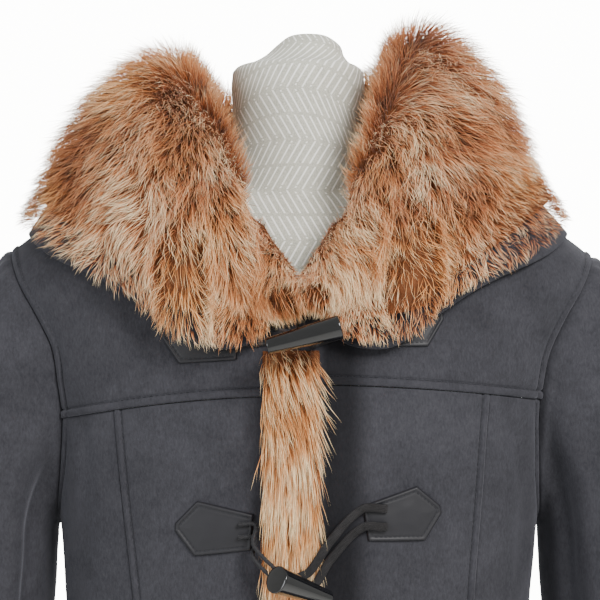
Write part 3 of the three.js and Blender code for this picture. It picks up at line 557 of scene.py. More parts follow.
def new_group(name, inputs, outputs):
    """A shader node group with named inputs (name, kind, default) and outputs (name, kind)."""
    group = bpy.data.node_groups.new(name, "ShaderNodeTree")
    for label, kind, default in inputs:
        socket = group.interface.new_socket(label, in_out="INPUT", socket_type=kind)
        if default is not None:
            socket.default_value = default
    for label, kind in outputs:
        group.interface.new_socket(label, in_out="OUTPUT", socket_type=kind)
    tree = Tree(group)
    return group, tree, tree.add("NodeGroupInput").outputs, tree.add("NodeGroupOutput")


VALUE, VECTOR = "NodeSocketFloat", "NodeSocketVector"


def nap_group():
    """Brushed nap: cloudy patches, short fibres and a fine tooth, as a shade and a height."""
    group, t, given, out = new_group("Brushed nap", [
        ("Vector", VECTOR, None), ("Cloud scale", VALUE, 28.0), ("Fibre scale", VALUE, 420.0),
        ("Fibre stretch", VALUE, 0.25),
    ], [("Shade", VALUE), ("Height", VALUE)])
    cloud = t.noise(given["Vector"], given["Cloud scale"], 4.0, 0.6, 0.6)
    brushed = t.add("ShaderNodeCombineXYZ", {0: 1.0, 1: 1.0, 2: given["Fibre stretch"]}).outputs[0]
    along = t.add("ShaderNodeVectorMath", {0: given["Vector"], 1: brushed}, operation="MULTIPLY").outputs[0]
    fibre = t.noise(along, given["Fibre scale"], 5.0, 0.7, 0.4)
    tooth = t.noise(given["Vector"], t.math("MULTIPLY", given["Fibre scale"], 3.4), 2.0)
    blotch = t.noise(given["Vector"], t.math("MULTIPLY", given["Cloud scale"], 5.5), 3.0, 0.6, 0.8)
    shade = t.math("ADD", t.math("MULTIPLY", cloud, 0.32), t.math("MULTIPLY", fibre, 0.5))
    shade = t.math("ADD", shade, t.math("MULTIPLY", blotch, 0.18))
    height = t.math("ADD", t.math("MULTIPLY", fibre, 0.55), t.math("MULTIPLY", tooth, 0.25))
    height = t.math("ADD", height, t.math("MULTIPLY", blotch, 0.28))
    t.tree.links.new(shade, out.inputs["Shade"])
    t.tree.links.new(height, out.inputs["Height"])
    return group


def grain_group():
    """Leather or moulded grain: rounded cells with valleys between them, and fine pores."""
    group, t, given, out = new_group("Pebbled grain", [
        ("Vector", VECTOR, None), ("Scale", VALUE, 700.0), ("Wear scale", VALUE, 60.0),
    ], [("Height", VALUE), ("Wear", VALUE)])
    cells = t.add("ShaderNodeTexVoronoi", {"Vector": given["Vector"], "Scale": given["Scale"]},
                  feature="SMOOTH_F1").outputs["Distance"]
    pores = t.noise(given["Vector"], t.math("MULTIPLY", given["Scale"], 2.3), 3.0)
    wear = t.noise(given["Vector"], given["Wear scale"], 5.0, 0.65, 0.5)
    height = t.math("ADD", t.math("MULTIPLY", cells, -0.7), t.math("MULTIPLY", pores, 0.3))
    t.tree.links.new(height, out.inputs["Height"])
    t.tree.links.new(wear, out.inputs["Wear"])
    return group


class Finish:
    """A new material with its Principled shader and coordinates."""

    def __init__(self, name, **values):
        self.material = bpy.data.materials.new(name)
        self.material.use_nodes = True
        self.t = Tree(self.material.node_tree)
        self.shader = self.material.node_tree.nodes["Principled BSDF"]
        for key, value in values.items():
            self.shader.inputs[key.replace("_", " ")].default_value = value
        self.where = self.t.add("ShaderNodeTexCoord").outputs["Object"]

    def feed(self, name, socket):
        self.t.tree.links.new(socket, self.shader.inputs[name])

    def bump(self, height, strength, distance):
        inputs = {"Height": height, "Strength": strength, "Distance": distance}
        self.feed("Normal", self.t.add("ShaderNodeBump", inputs).outputs[0])

    def group(self, name, **inputs):
        node = self.t.add("ShaderNodeGroup", node_tree=bpy.data.node_groups[name])
        inputs = {key.replace("_", " "): value for key, value in inputs.items()}
        return self.t.given(node, {"Vector": self.where, **inputs}).outputs


def cloth_finish(name, dark, light):
    """Brushed wool: a dark nap with a soft sheen, and a painted shadow down the front beside the fur band.
    """
    f = Finish(name, Roughness=0.92, Specular_IOR_Level=0.22, Sheen_Weight=0.32, Sheen_Roughness=0.42,
               Sheen_Tint=srgb(172, 174, 186))
    nap = f.group("Brushed nap", Cloud_scale=22.0, Fibre_scale=640.0, Fibre_stretch=0.45)
    shade = f.t.ramp(nap["Shade"], [(0.3, dark), (0.68, light)])
    place = f.t.add("ShaderNodeSeparateXYZ", {0: f.where}).outputs
    # Painted shadow: the cloth's front is darkened from 12 to 56 mm right of the middle, where the fur band
    # shades it, fading out between 0.9 and 0.6 m high.
    painted_band_shadow = f.t.math("MULTIPLY", f.t.step(place[0], 0.012, 0.022), f.t.step(place[0], 0.056, 0.034))
    painted_band_shadow = f.t.math("MULTIPLY", painted_band_shadow, f.t.step(place[1], -0.06, -0.09))
    painted_band_shadow = f.t.math("MULTIPLY", painted_band_shadow, f.t.step(place[2], 0.6, 0.9))
    shade = f.t.mix(f.t.math("MULTIPLY", painted_band_shadow, 0.72), shade, srgb(8, 9, 13))
    f.feed("Base Color", shade)
    f.bump(nap["Height"], 0.4, 0.0009)
    return f.material


def thread_finish(name, colour):
    f = Finish(name, Roughness=0.6, Specular_IOR_Level=0.35, Sheen_Weight=0.1)
    ply = f.t.noise(f.where, 2600.0, 2.0)
    f.feed("Base Color", f.t.mix(ply, colour, (*(c * 1.9 for c in colour[:3]), 1)))
    f.bump(ply, 0.4, 0.0003)
    return f.material


def leather_finish(name):
    """Black coated leather: pebbled grain, its wear a little lighter and rougher, and a lighter grey band
    along the edge that is partly its edge finish and partly a painted highlight on the bevel.
    """
    f = Finish(name, Specular_IOR_Level=0.5, Coat_Weight=0.12, Coat_Roughness=0.35)
    grain = f.group("Pebbled grain", Scale=900.0, Wear_scale=70.0)
    body = f.t.ramp(grain["Wear"], [(0.35, srgb(30, 32, 35)), (0.7, srgb(50, 53, 57))])
    # Partly edge finish and partly painted highlight: the edge is painted light grey within about 2 mm and
    # fades out by 6 mm, standing in for the bevel catching light.
    far = f.t.parts_of("edge")[0]
    rim = f.t.ramp(far, [(0.0, grey(1)), (0.09, grey(1)), (0.14, grey(0.25)), (0.3, grey(0))])
    f.feed("Base Color", f.t.mix(rim, body, srgb(122, 126, 130)))
    f.feed("Roughness", f.t.ramp(grain["Wear"], [(0.3, grey(0.34)), (0.75, grey(0.52))]))
    f.bump(grain["Height"], 0.35, 0.0006)
    return f.material


def strap_finish(name):
    """A braided strap: crossed ribs along its own UV map, in millimetres."""
    f = Finish(name, Roughness=0.5, Specular_IOR_Level=0.45)
    split = f.t.parts_of("run")
    wave = []
    for sign in (1.0, -1.0):
        slant = f.t.math("MULTIPLY_ADD", split[0], sign * 2.4, split[1])
        wave.append(f.t.math("SINE", f.t.math("MULTIPLY", slant, 2.7)))
    braid = f.t.math("MAXIMUM", wave[0], wave[1])
    grain = f.group("Pebbled grain", Scale=1300.0, Wear_scale=120.0)
    height = f.t.math("MULTIPLY_ADD", grain["Height"], 0.4, braid)
    f.feed("Base Color", f.t.ramp(grain["Wear"], [(0.35, srgb(19, 18, 20)), (0.7, srgb(40, 38, 40))]))
    f.bump(height, 0.7, 0.0005)
    return f.material


def horn_finish(name):
    """Polished black horn: deep gloss with faint cloudy streaks and fine scuffs."""
    f = Finish(name, Specular_IOR_Level=0.6, Coat_Weight=0.6, Coat_Roughness=0.06)
    streak = f.t.noise(f.t.scaled(f.where, 1, 1, 3), 90.0, 5.0, 0.6, 1.2)
    f.feed("Base Color", f.t.ramp(streak, [(0.4, srgb(4, 5, 7)), (0.75, srgb(15, 15, 18))]))
    grain = f.group("Pebbled grain", Scale=1500.0, Wear_scale=160.0)
    f.feed("Roughness", f.t.ramp(grain["Wear"], [(0.35, grey(0.06)), (0.8, grey(0.2))]))
    f.bump(grain["Wear"], 0.05, 0.0004)
    return f.material


def fur_finish(name, pale, dark):
    """Fur hairs: dark at the root and pale at the tip, shifted by each hair's own number and its zone."""
    f = Finish(name, Roughness=0.62, Specular_IOR_Level=0.3, Sheen_Weight=0.15, Sheen_Roughness=0.5)
    hair, zone = f.t.parts_of("strand"), f.t.parts_of("tone")
    reach = f.t.math("ADD", hair[1], f.t.math("MULTIPLY", f.t.math("SUBTRACT", hair[0], 0.5), 0.26))
    reach = f.t.math("ADD", reach, f.t.math("MULTIPLY", f.t.math("SUBTRACT", zone[0], 0.5), 0.9))
    body = f.t.ramp(reach, [(0.0, dark), (0.18, srgb(112, 62, 38)), (0.42, srgb(184, 108, 64)),
                            (0.7, srgb(226, 158, 106)), (1.0, pale)])
    warm = f.t.ramp(reach, [(0.0, srgb(104, 58, 26)), (0.35, srgb(206, 132, 66)),
                            (0.7, srgb(238, 178, 110)),
                            (1.0, srgb(252, 226, 176))])
    f.feed("Base Color", f.t.mix(f.t.math("MULTIPLY", zone[1], 0.9), body, warm))
    return f.material


def under_fur_finish(name):
    """The felted underfur between the hairs."""
    f = Finish(name, Roughness=0.95, Specular_IOR_Level=0.15)
    nap = f.group("Brushed nap", Cloud_scale=40.0, Fibre_scale=350.0, Fibre_stretch=0.2)
    f.feed("Base Color", f.t.ramp(nap["Shade"], [(0.3, srgb(64, 38, 24)), (0.7, srgb(142, 88, 56))]))
    f.bump(nap["Height"], 0.8, 0.003)
    return f.material


def jersey_finish(name):
    """Grey jersey with chevrons of thin pale dashes, from a UV map in millimetres."""
    f = Finish(name, Roughness=0.88, Specular_IOR_Level=0.2, Sheen_Weight=0.15, Sheen_Roughness=0.5)
    t = f.t
    nap = f.group("Brushed nap", Cloud_scale=60.0, Fibre_scale=900.0, Fibre_stretch=0.8)
    speck = t.noise(f.where, 1500.0, 2.0, 0.6)
    base = t.ramp(t.math("MULTIPLY_ADD", speck, 0.6, t.math("MULTIPLY", nap["Shade"], 0.4)),
                  [(0.38, srgb(164, 165, 153)), (0.5, srgb(197, 197, 184)), (0.62, srgb(221, 221, 208))])
    split = t.parts_of("cloth")
    up = t.math("DIVIDE", split[1], CHEVRON)
    part = t.math("FRACT", up)
    shear = t.math("MULTIPLY", t.math("PINGPONG", up, 1.0), -22.0)
    lines = t.math("DIVIDE", t.math("ADD", split[0], shear), 5.7)
    odd = t.math("FLOORED_MODULO", t.math("FLOOR", lines), 2.0)
    off = t.math("ABSOLUTE", t.math("SUBTRACT", t.math("FRACT", lines), 0.5))
    thin = t.math("LESS_THAN", off, 0.13)
    inside = t.math("ABSOLUTE", t.math("SUBTRACT", part, 0.5))
    far = t.math("SUBTRACT", 0.49, t.math("MULTIPLY", odd, 0.09))
    dash = t.math("MULTIPLY", t.math("LESS_THAN", inside, far), t.math("GREATER_THAN", inside, 0.03))
    dot = t.math("LESS_THAN", t.math("ABSOLUTE", t.math("SUBTRACT", inside, 0.445)), 0.016)
    dash = t.math("MAXIMUM", dash, t.math("MULTIPLY", dot, odd))
    mask = t.math("MULTIPLY", thin, dash)
    f.feed("Base Color", t.mix(mask, base, srgb(254, 254, 248)))
    f.bump(t.math("ADD", t.math("MULTIPLY", speck, 0.5), t.math("MULTIPLY", mask, 0.6)), 0.35, 0.0006)
    return f.material


def stand_finish(name):
    """Powder-coated steel with a fine texture and worn patches."""
    f = Finish(name, Metallic=0.5, Specular_IOR_Level=0.5)
    grain = f.group("Pebbled grain", Scale=1100.0, Wear_scale=24.0)
    f.feed("Base Color", f.t.ramp(grain["Wear"], [(0.35, srgb(26, 27, 29)), (0.72, srgb(48, 49, 52))]))
    f.feed("Roughness", f.t.ramp(grain["Wear"], [(0.3, grey(0.36)), (0.75, grey(0.56))]))
    f.bump(grain["Height"], 0.2, 0.0004)
    return f.material


def plain_finish(name, colour):
    f = Finish(name, Roughness=0.9, Specular_IOR_Level=0.1)
    shaded = (*(c * 0.97 for c in colour[:3]), 1)
    f.feed("Base Color", f.t.mix(f.t.noise(f.where, 3.0, 2.0), colour, shaded))
    return f.material


# Cloth pieces

def line_at(values, run, wide):
    """Where a run that grows along each row reaches a distance, between the grid's two columns."""
    k = np.clip((run < wide).sum(1) - 1, 0, run.shape[1] - 2)
    i = np.arange(len(run))
    t = ((wide - run[i, k]) / np.maximum(run[i, k + 1] - run[i, k], 1e-6))[:, None]
    return values[i, k] * (1 - t) + values[i, k + 1] * t


def edge_line(p, normals, runs, edge, wide):
    """The line of points and normals at a distance from one edge of a grid."""
    def from_edge(v):
        v = v.swapaxes(0, 1) if edge in ("top", "bottom") else v
        return v[:, ::-1] if edge in ("outer", "bottom") else v

    return [line_at(from_edge(v), from_edge(runs[edge]), wide) for v in (p, normals)]


def cloth_panel(name, node, p, facing, face, seed, material, welts, threads, hem=False):
    """A panel's outer face with its relief, raised welts and stitch lines; facing -1 turns it."""
    normals = grid_normals(p) * facing
    runs = dict(zip(("inner", "outer", "top", "bottom"), edge_runs(p)))
    height = relief(p, face, seed)
    for edge, wide, low in welts:
        mask = np.clip((p[..., 2] - low) / 12 + 1, 0, 1)
        height = height + welt(runs[edge], wide) * mask
    rounding = sum(0.7 * np.exp(-runs[edge] / 1.1) for edge in runs)
    p = p + normals * (height - rounding)[..., None]
    normals = grid_normals(p) * facing
    for edge, wide, low in welts:
        path, out = edge_line(p, normals, runs, edge, wide)
        keep = path[:, 2] > low
        threads.add(path[keep], out[keep])
    if hem:
        threads.add(*edge_line(p, normals, runs, "bottom", 22.0))
    if facing < 0:
        p, normals = p[:, ::-1], normals[:, ::-1]
    obj = sheet_object(name, p, normals, material)
    return finish_piece(obj, [node])


def finish_piece(obj, nodes):
    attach(obj, "root")
    if nodes:
        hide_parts(*nodes)
    return obj


def side_panels(letter, cloth, threads):
    """A side's yoke, centre front and side front."""
    side = SIGN[letter]
    u = np.maximum(spaced(215, 4.2, False, True), 0.001)
    v = spaced(165, 3.6, False, True, fine=0.6) ** 1.4
    uu, vv = np.meshgrid(u, v)
    seed = RNG_SEED + (3 if letter == "L" else 7)
    cloth_panel(f"yoke_face_{letter}", f"yoke_{letter}", upper_point(letter, "front", uu, vv), -side,
                "front", seed, cloth, [("bottom", 6.0, 0), ("outer", 6.0, 0)], threads)
    base = float(yoke_seam(letter, 0))
    level = base - 0.3 - (base - 0.3 - HEM_Z) * spaced(base - HEM_Z, 4.6, True, True)

    def princess(shift):
        return lambda z: turn_at(curve(PRINCESS[letter], 1, z) + shift, z)

    def middle(z):
        return np.full_like(z, 0.002)

    u = spaced(132, 4.2, False, True)
    uu, ll = np.meshgrid(u, level)
    p = lower_point(letter, "front", middle, princess(-SEAM), uu, ll)
    cloth_panel(f"centre_front_face_{letter}", f"centre_front_{letter}", p, -side, "front", seed + 20,
                cloth, [("outer", 5.0, 0)], threads, hem=True)
    u = spaced(100, 4.2, True, True)
    uu, ll = np.meshgrid(u, level)
    p = lower_point(letter, "front", princess(SEAM), lambda z: edge_turn(letter, z), uu, ll)
    cloth_panel(f"side_front_face_{letter}", f"side_front_{letter}", p, -side, "front", seed + 40,
                cloth, [("outer", 6.0, 1128)], threads, hem=True)


def back_panel(cloth, threads):
    """The back: both halves of one grid, from the shoulder line to the hem."""
    u = spaced(250, 4.6, False, True)
    level = 1229 - (1229 - HEM_Z) * spaced(1229 - HEM_Z, 4.6, False, True)
    v = np.linspace(0, 1, 50)[:-1] ** 1.7
    halves = []
    for letter in ("L", "R"):
        across = np.maximum(u, 0.0005)
        uu, vv = np.meshgrid(across, v)
        upper = upper_point(letter, "back", uu, vv)
        uu, ll = np.meshgrid(across, level)
        lower = lower_point(letter, "back", lambda z: 0 * z, lambda z: edge_turn(letter, z), uu, ll)
        halves.append(np.concatenate([upper, lower]))
    p = np.concatenate([halves[0][:, :0:-1], halves[1]], 1)
    cloth_panel("back_face", "back", p, 1, "back", RNG_SEED + 90, cloth,
                [("inner", 6.0, 1128), ("outer", 6.0, 1128)], threads, hem=True)


def sleeve_ring(letter):
    """The armhole from the shoulder down the front and up the back, by the length run round it."""
    v = np.linspace(0, 1, 80)[:-1]
    top = upper_point(letter, "front", np.ones_like(v), v**1.5)
    z = np.linspace(float(yoke_seam(letter, YOKE_HALF)), UNDERARM_Z, 40)
    low = body_point(letter, "front", curve(ARMHOLE[letter], 1, z), z)
    front = np.concatenate([top, low])
    rear = front[::-1]
    rear = body_point(letter, "back", np.abs(rear[:, 0]), rear[:, 2])
    front[[0, -1], 1] = 0
    rear[[0, -1], 1] = 0
    return front, rear


# Creases on each sleeve, listed one by one: angle and height at both ends, width, height
SLEEVE_CREASES = {
    "L": [(132, 1210, 138, 1050, 9, -7.0), (112, 1190, 120, 1040, 11, 3.0), (40, 1240, 75, 1150, 10, 2.6),
          (20, 1200, 70, 1120, 9, -2.4), (-40, 1190, 60, 1080, 10, 2.4), (60, 1020, 130, 985, 9, 2.6),
          (30, 990, 110, 955, 8, -2.8), (50, 965, 140, 925, 9, 2.8), (-60, 1000, 20, 960, 10, 2.2),
          (-120, 970, -40, 930, 9, 2.0), (80, 880, 150, 850, 9, 1.8), (60, 810, 120, 790, 8, 1.4)],
    "R": [(128, 1195, 134, 1050, 9, -4.6), (108, 1200, 112, 1060, 11, 2.6), (60, 1230, 95, 1120, 9, 2.8),
          (30, 1250, 50, 1150, 10, -2.2), (-30, 1190, 70, 1070, 10, 2.2), (50, 1030, 125, 1000, 9, 2.8),
          (20, 1000, 105, 965, 8, -2.6), (60, 960, 150, 930, 9, 2.6), (-70, 1010, 10, 955, 10, 2.2),
          (-130, 960, -50, 940, 9, 2.0), (70, 890, 145, 865, 9, 1.6), (50, 800, 130, 780, 8, 1.4)],
}


def sleeve_piece(letter, cloth, threads):
    """From the armhole's ring out over the arm on a cubic curve, then down the sleeve's table."""
    side = SIGN[letter]
    angles = np.linspace(0, 360, 120, endpoint=False)
    front, rear = sleeve_ring(letter)

    def along(line, share):
        run = run_of(line)
        return np.stack([np.interp(share * run[-1], run, line[:, k]) for k in range(3)], -1)

    start = np.where((angles <= 180)[:, None], along(front, np.clip(angles / 180, 0, 1)),
                     along(rear, np.clip(angles / 180 - 1, 0, 1)))
    cos, sin = np.cos(np.radians(angles)), np.sin(np.radians(angles))
    outside = (1 + cos) / 2

    def ring(z):
        folds = 2.5 * np.sin(z / 17 + 1.3 * cos) * np.maximum(cos + 0.35, 0)
        folds = folds * (0.35 + 0.65 * np.sin(z / 61) ** 2)
        x, y, wide, deep = (curve(SLEEVE, k, z) for k in (1, 2, 3, 4))
        return np.stack([side * (x + (wide + folds) * cos), y - deep * sin, z + 0 * cos], -1)

    target = ring(np.full_like(cos, ARM_TOP))
    start[:, 0] += side * 2 * SEAM
    under = (1 - outside) ** 3
    away = np.stack([side + 0 * cos, -0.22 * sin, -0.42 * outside - 0.1 - 0.5 * under], -1)
    first = start + away * (5 + 41 * outside**0.8)[:, None]
    second = target + np.stack([0 * cos, 0 * cos, 3 + 117 * outside**0.8], -1)
    t = (spaced(150, 3.6, True, False, reach=8)[:-1] ** 1.15)[:, None, None]
    s = 1 - t
    head = s**3 * start + 3 * s * s * t * first + 3 * s * t * t * second + t**3 * target
    z = ARM_TOP - (ARM_TOP - CUFF_Z) * spaced(ARM_TOP - CUFF_Z, 3.8, False, True)
    arm = ring(z[:, None] + 0 * cos[None])
    p = np.concatenate([head, arm])
    facing = side
    normals = grid_normals(p, True) * facing
    degrees = np.where(angles > 180, angles - 360, angles)[None] + 0 * p[..., 2]
    height = 0.6 * waves(p, RNG_SEED + (11 if side > 0 else 12), 80)
    height = height + 0.3 * waves(p, RNG_SEED + (13 if side > 0 else 14), 34)
    for a0, z0, a1, z1, wide, high in SLEEVE_CREASES[letter]:
        height = height + crease(degrees * 1.1, p[..., 2], a0 * 1.1, z0, a1 * 1.1, z1, wide, high)
    run = np.pad(np.cumsum(np.linalg.norm(np.diff(p, axis=0), axis=-1), 0), ((1, 0), (0, 0)))
    ease = smooth(0, 22, run)
    gather = 0.7 * np.sin(np.radians(angles) * 34)[None] * np.exp(-((run - 9) / 8) ** 2) * (cos > -0.2)
    height = height * ease + gather + 1.6 * np.exp(-(((run - 6) / 4) ** 2))
    height = height - 0.8 * np.exp(-run / 1.2) - 0.7 * np.exp(-(run[-1:] - run) / 1.1)
    p = p + normals * height[..., None]
    normals = grid_normals(p, True) * facing
    threads.add(*edge_line(p, normals, {"bottom": run[-1:] - run}, "bottom", 24.0))
    if facing < 0:
        p, normals = p[:, ::-1], normals[:, ::-1]
    obj = sheet_object(f"sleeve_face_{letter}", p, normals, cloth, around=True)
    return finish_piece(obj, [f"sleeve_{letter}"])


# The hood

def hood_grid(letter, angles, vs):
    """For each plan angle a spline through its control points, its least radius clear of the coat."""
    side = SIGN[letter]
    lift, reach = LIFT[letter], REACH[letter]
    over = curve(HOOD, 1, angles)
    aside = 1 + (reach - 1) * smooth(30, 66, angles)
    rs, zs = [], []
    for k in range(6):
        r, z = curve(HOOD, 2 + k, angles), curve(HOOD, 8 + k, angles)
        if 0 < k < 5:
            z = np.where(z > SHOULDER_Z, SHOULDER_Z + (z - SHOULDER_Z) * lift, z)
        if 1 < k < 5:
            r = r * aside
        rs.append(np.maximum(r, coat_radius(angles, z, over if k else HOOD_CLEAR + 0 * over)))
        zs.append(z)
    controls = np.stack([np.stack(rs, -1), np.stack(zs, -1)], -1)
    at = vs * 5
    i = np.minimum(np.floor(at).astype(int), 4)
    t = (at - i)[:, None, None]
    p0, p1, p2, p3 = (controls[:, np.clip(i + s, 0, 5)].swapaxes(0, 1) for s in (-1, 0, 1, 2))
    m1, m2 = (p2 - p0) / 2, (p3 - p1) / 2
    line = ((2 * p1 - 2 * p2 + m1 + m2) * t**3 + (-3 * p1 + 3 * p2 - 2 * m1 - m2) * t * t + m1 * t + p1)
    r, z = line[..., 0], line[..., 1]
    grown = HOOD_CLEAR + (over[None] - HOOD_CLEAR) * np.minimum(vs * 3, 1)[:, None]
    r = np.maximum(r, coat_radius(angles[None] + 0 * z, z, grown))
    turn = np.radians(angles)[None]
    x = np.maximum(r * np.sin(turn), SEAM)
    return np.stack([side * x, -r * np.cos(turn), z], -1)


def fur_depth(angles, vs):
    """The fur's depth along each line: through its three values, and thinner at the free edge."""
    f0, f1, f2 = (curve(HOOD, k, angles) for k in (14, 15, 16))
    at = np.array([0, 0.35, 0.8, 1])
    rows = [f0, f1, f2 + 1, f2 - 6]
    return np.stack([curve(np.stack([at, [row[i] for row in rows]], 1), 1, vs)
                     for i in range(len(angles))], -1)


def welded(obj):
    """The object with the points that lie on each other joined, so that its wall is closed."""
    shape = bmesh.new()
    shape.from_mesh(obj.data)
    bmesh.ops.remove_doubles(shape, verts=shape.verts, dist=1e-6)
    shape.to_mesh(obj.data)
    shape.free()
    return obj


def tube_of(outer, inner):
    """One grid round both faces of a wall, its two ends pinched shut."""
    both = np.concatenate([outer, inner[::-1]])
    middle = (outer + inner) / 2
    pinch = np.concatenate([middle, middle[::-1]])
    return np.concatenate([pinch[:, :1], both, pinch[:, -1:]], 1)


def hood_shell(letter, cloth, threads):
    """The hood's black cloth under the fur: a thin wall round its free edge."""
    side = SIGN[letter]
    angles, vs = np.linspace(3, 180, 96), np.linspace(0, 1, 42)
    p = hood_grid(letter, angles, vs)
    normals = grid_normals(p) * -side
    wave = 0.5 * waves(p, RNG_SEED + 60, 50)
    outer = p - normals * 0.1
    inner = p - normals * (TURN_IN + wave * np.minimum(vs * 4, 1)[:, None] * 0.6)[..., None]
    q = tube_of(outer, inner)
    if side > 0:
        q = q[:, ::-1]
    q = q.swapaxes(0, 1)
    obj = mesh_object(f"hood_shell_face_{letter}", q * MM, grid_faces(*q.shape[:2], True)[:, ::-1], cloth)
    welded(obj)
    path = p[-4] - normals[-4] * 1.8
    threads.add(path[2:-2], -normals[-4][2:-2])
    return finish_piece(obj, [f"hood_shell_{letter}"])


def pouch_piece(cloth):
    """The hood's crown hanging at the back: a flattened cup, outer wall down and inner wall up."""
    rows = []
    zs = np.concatenate([np.linspace(1345, 1216, 40), [1211, 1208, 1206.5]])
    turn = np.radians(np.linspace(0, 360, 90, endpoint=False))
    for inset in (0.0, TURN_IN):
        z = np.maximum(zs, 1206 + inset * 2)
        wide = curve(POUCH, 1, z) - inset
        deep = curve(POUCH, 2, z) - inset
        x = wide[:, None] * np.cos(turn)
        zz = z[:, None] + 0 * x
        y = coat_depth("back", np.abs(x), zz) + 1.6 + inset + deep[:, None] * (1 + np.sin(turn))
        rows.append(np.stack([x, y, zz], -1))
    outer, inner = rows
    out = grid_normals(outer, True)
    facing = 1 if (out[10, 22, 1] > 0) else -1
    folds = crease(outer[..., 0], outer[..., 2], -60, 1330, -20, 1225, 14, 2.6)
    folds = folds + crease(outer[..., 0], outer[..., 2], 55, 1335, 30, 1230, 13, 2.4)
    folds = folds + crease(outer[..., 0], outer[..., 2], 0, 1300, 6, 1215, 16, -1.6)
    folds = (folds + 0.8 * waves(outer, RNG_SEED + 70, 45)) * (np.sin(turn) > 0)
    outer = outer + out * facing * folds[..., None]
    tip = np.repeat(outer[-1:].mean(1, keepdims=True), outer.shape[1], 1)
    tip_in = np.repeat(inner[-1:].mean(1, keepdims=True), outer.shape[1], 1)
    q = np.concatenate([outer, tip, tip_in, inner[::-1], outer[:1]])
    faces = grid_faces(*q.shape[:2], True)
    obj = mesh_object("hood_pouch_face", q * MM, faces if facing > 0 else faces[:, ::-1], cloth)
    return finish_piece(welded(obj), ["hood_pouch"])


# Fur

# Zones of the hood's fur, listed one by one: x, z, spread, how pale (0 to 1), how golden
FUR_ZONES = [
    (-114, 1361, 34, 0.92, 0.0), (-120, 1401, 20, 0.75, 0.0), (-163, 1377, 20, 0.05, 0.0),
    (-157, 1414, 16, 0.15, 0.0), (-133, 1461, 20, 0.5, 0.9), (-181, 1372, 15, 0.45, 0.8),
    (-137, 1314, 30, 0.75, 0.0), (-77, 1291, 20, 0.5, 0.95), (-67, 1267, 14, 0.95, 0.1),
    (-85, 1408, 24, 0.3, 0.25), (66, 1477, 24, 0.3, 0.0), (113, 1466, 22, 0.65, 0.0),
    (99, 1436, 20, 0.6, 0.0), (141, 1418, 22, 0.3, 0.1), (163, 1377, 16, 0.5, 0.8),
    (148, 1360, 16, 0.75, 0.5), (125, 1368, 20, 0.2, 0.0), (104, 1330, 18, 0.5, 0.6),
    (131, 1327, 18, 0.75, 0.0), (91, 1310, 18, 0.5, 0.7), (58, 1277, 18, 0.95, 0.2),
    (41, 1368, 18, 0.65, 0.1), (34, 1313, 16, 0.8, 0.4),
]


def fur_zone(p, seed):
    """How pale and how golden the fur is at a place, from the zones and slow waves."""
    pale = 0.5 + 0.45 * waves(p, seed, 42) + 0.4 * waves(p, seed + 1, 13)
    gold = 0.2 + 0.7 * waves(p, seed + 2, 60)
    for x, z, spread, tone, golden in FUR_ZONES:
        near = np.exp(-(((p[:, 0] - x) / spread) ** 2) - ((p[:, 2] - z) / spread) ** 2) * (p[:, 1] < 20)
        pale = pale + (tone - pale) * 0.75 * near
        gold = gold + (golden - gold) * near
    return np.clip(pale, 0, 1), np.clip(gold, 0, 1)


def grow(root, normal, flow, length, lean0, lean1, side_turn, drop, parts=3):
    """Each hair's points: it leans from the normal to the flow, turns aside and drops with its run."""
    across = np.cross(normal, flow)
    points = [root]
    for k in range(parts):
        s = (k + 0.5) / parts
        lean = lean0 + (lean1 - lean0) * s
        way = normal * np.cos(lean)[:, None]
        way = way + (flow * np.cos(side_turn * s)[:, None] + across * np.sin(side_turn * s)[:, None]) \
            * np.sin(lean)[:, None]
        way[:, 2] -= drop * s
        points.append(points[-1] + unit(way) * (length / parts)[:, None])
    return np.stack(points, 1)


def nearest_cell(at, size, seed):
    """The nearest of the jittered cell centres round each place, as a cell number and that centre."""
    count = (np.ceil(at.max(0) / size) + 3).astype(int)
    jitter = np.random.default_rng(seed).uniform(0.12, 0.88, (count[0], count[1], 2))
    cell = np.floor(at / size).astype(int) + 1
    best, chosen, centre = np.full(len(at), 1e9), np.zeros(len(at), int), np.zeros_like(at)
    for i in (-1, 0, 1):
        for j in (-1, 0, 1):
            c = np.clip(cell + (i, j), 0, count - 1)
            place = (c - 1 + jitter[c[:, 0], c[:, 1]]) * size
            far = ((place - at) ** 2).sum(1)
            closer = far < best
            best = np.where(closer, far, best)
            chosen = np.where(closer, c[:, 0] * count[1] + c[:, 1], chosen)
            centre[closer] = place[closer]
    return chosen, centre


def ribbons(points, out, width, twist):
    """Flat tapering ribbons along the hairs: pairs of points across each, and one at the tip."""
    ways = unit(np.gradient(points, axis=1))
    across = np.cross(ways, out[:, None])
    across /= np.maximum(np.linalg.norm(across, axis=-1, keepdims=True), 1e-6)
    other = np.cross(across, ways)
    across = across * np.cos(twist)[:, None, None] + other * np.sin(twist)[:, None, None]
    taper = np.array([0.8, 1.0, 0.72, 0.0])[: points.shape[1]]
    half = width[:, None] * taper[None] / 2
    low, high = points - across * half[..., None], points + across * half[..., None]
    pairs = np.stack([low[:, :-1], high[:, :-1]], 2).reshape(len(points), -1, 3)
    return np.concatenate([pairs, points[:, -1:]], 1)


RIBBON = np.array([(0, 1, 3), (0, 3, 2), (2, 3, 5), (2, 5, 4), (4, 5, 6)])


def fur_object(name, points, out, width, twist, rng, pale, gold, material):
    """The hairs as one mesh, with maps of each hair's own number, its run, and its zone."""
    mesh = ribbons(points, out, width, twist)
    count = len(mesh)
    faces = (RIBBON[None] + (np.arange(count) * 7)[:, None, None]).reshape(-1, 3)
    own = np.repeat(rng.uniform(0, 1, count), 7)
    run = np.tile([0, 0, 1 / 3, 1 / 3, 2 / 3, 2 / 3, 1], count)
    tone = np.stack([np.repeat(pale, 7), np.repeat(gold, 7)], 1)
    maps = {"strand": np.stack([own, run], 1), "tone": tone}
    return mesh_object(name, mesh.reshape(-1, 3) * MM, faces, material, True, maps)


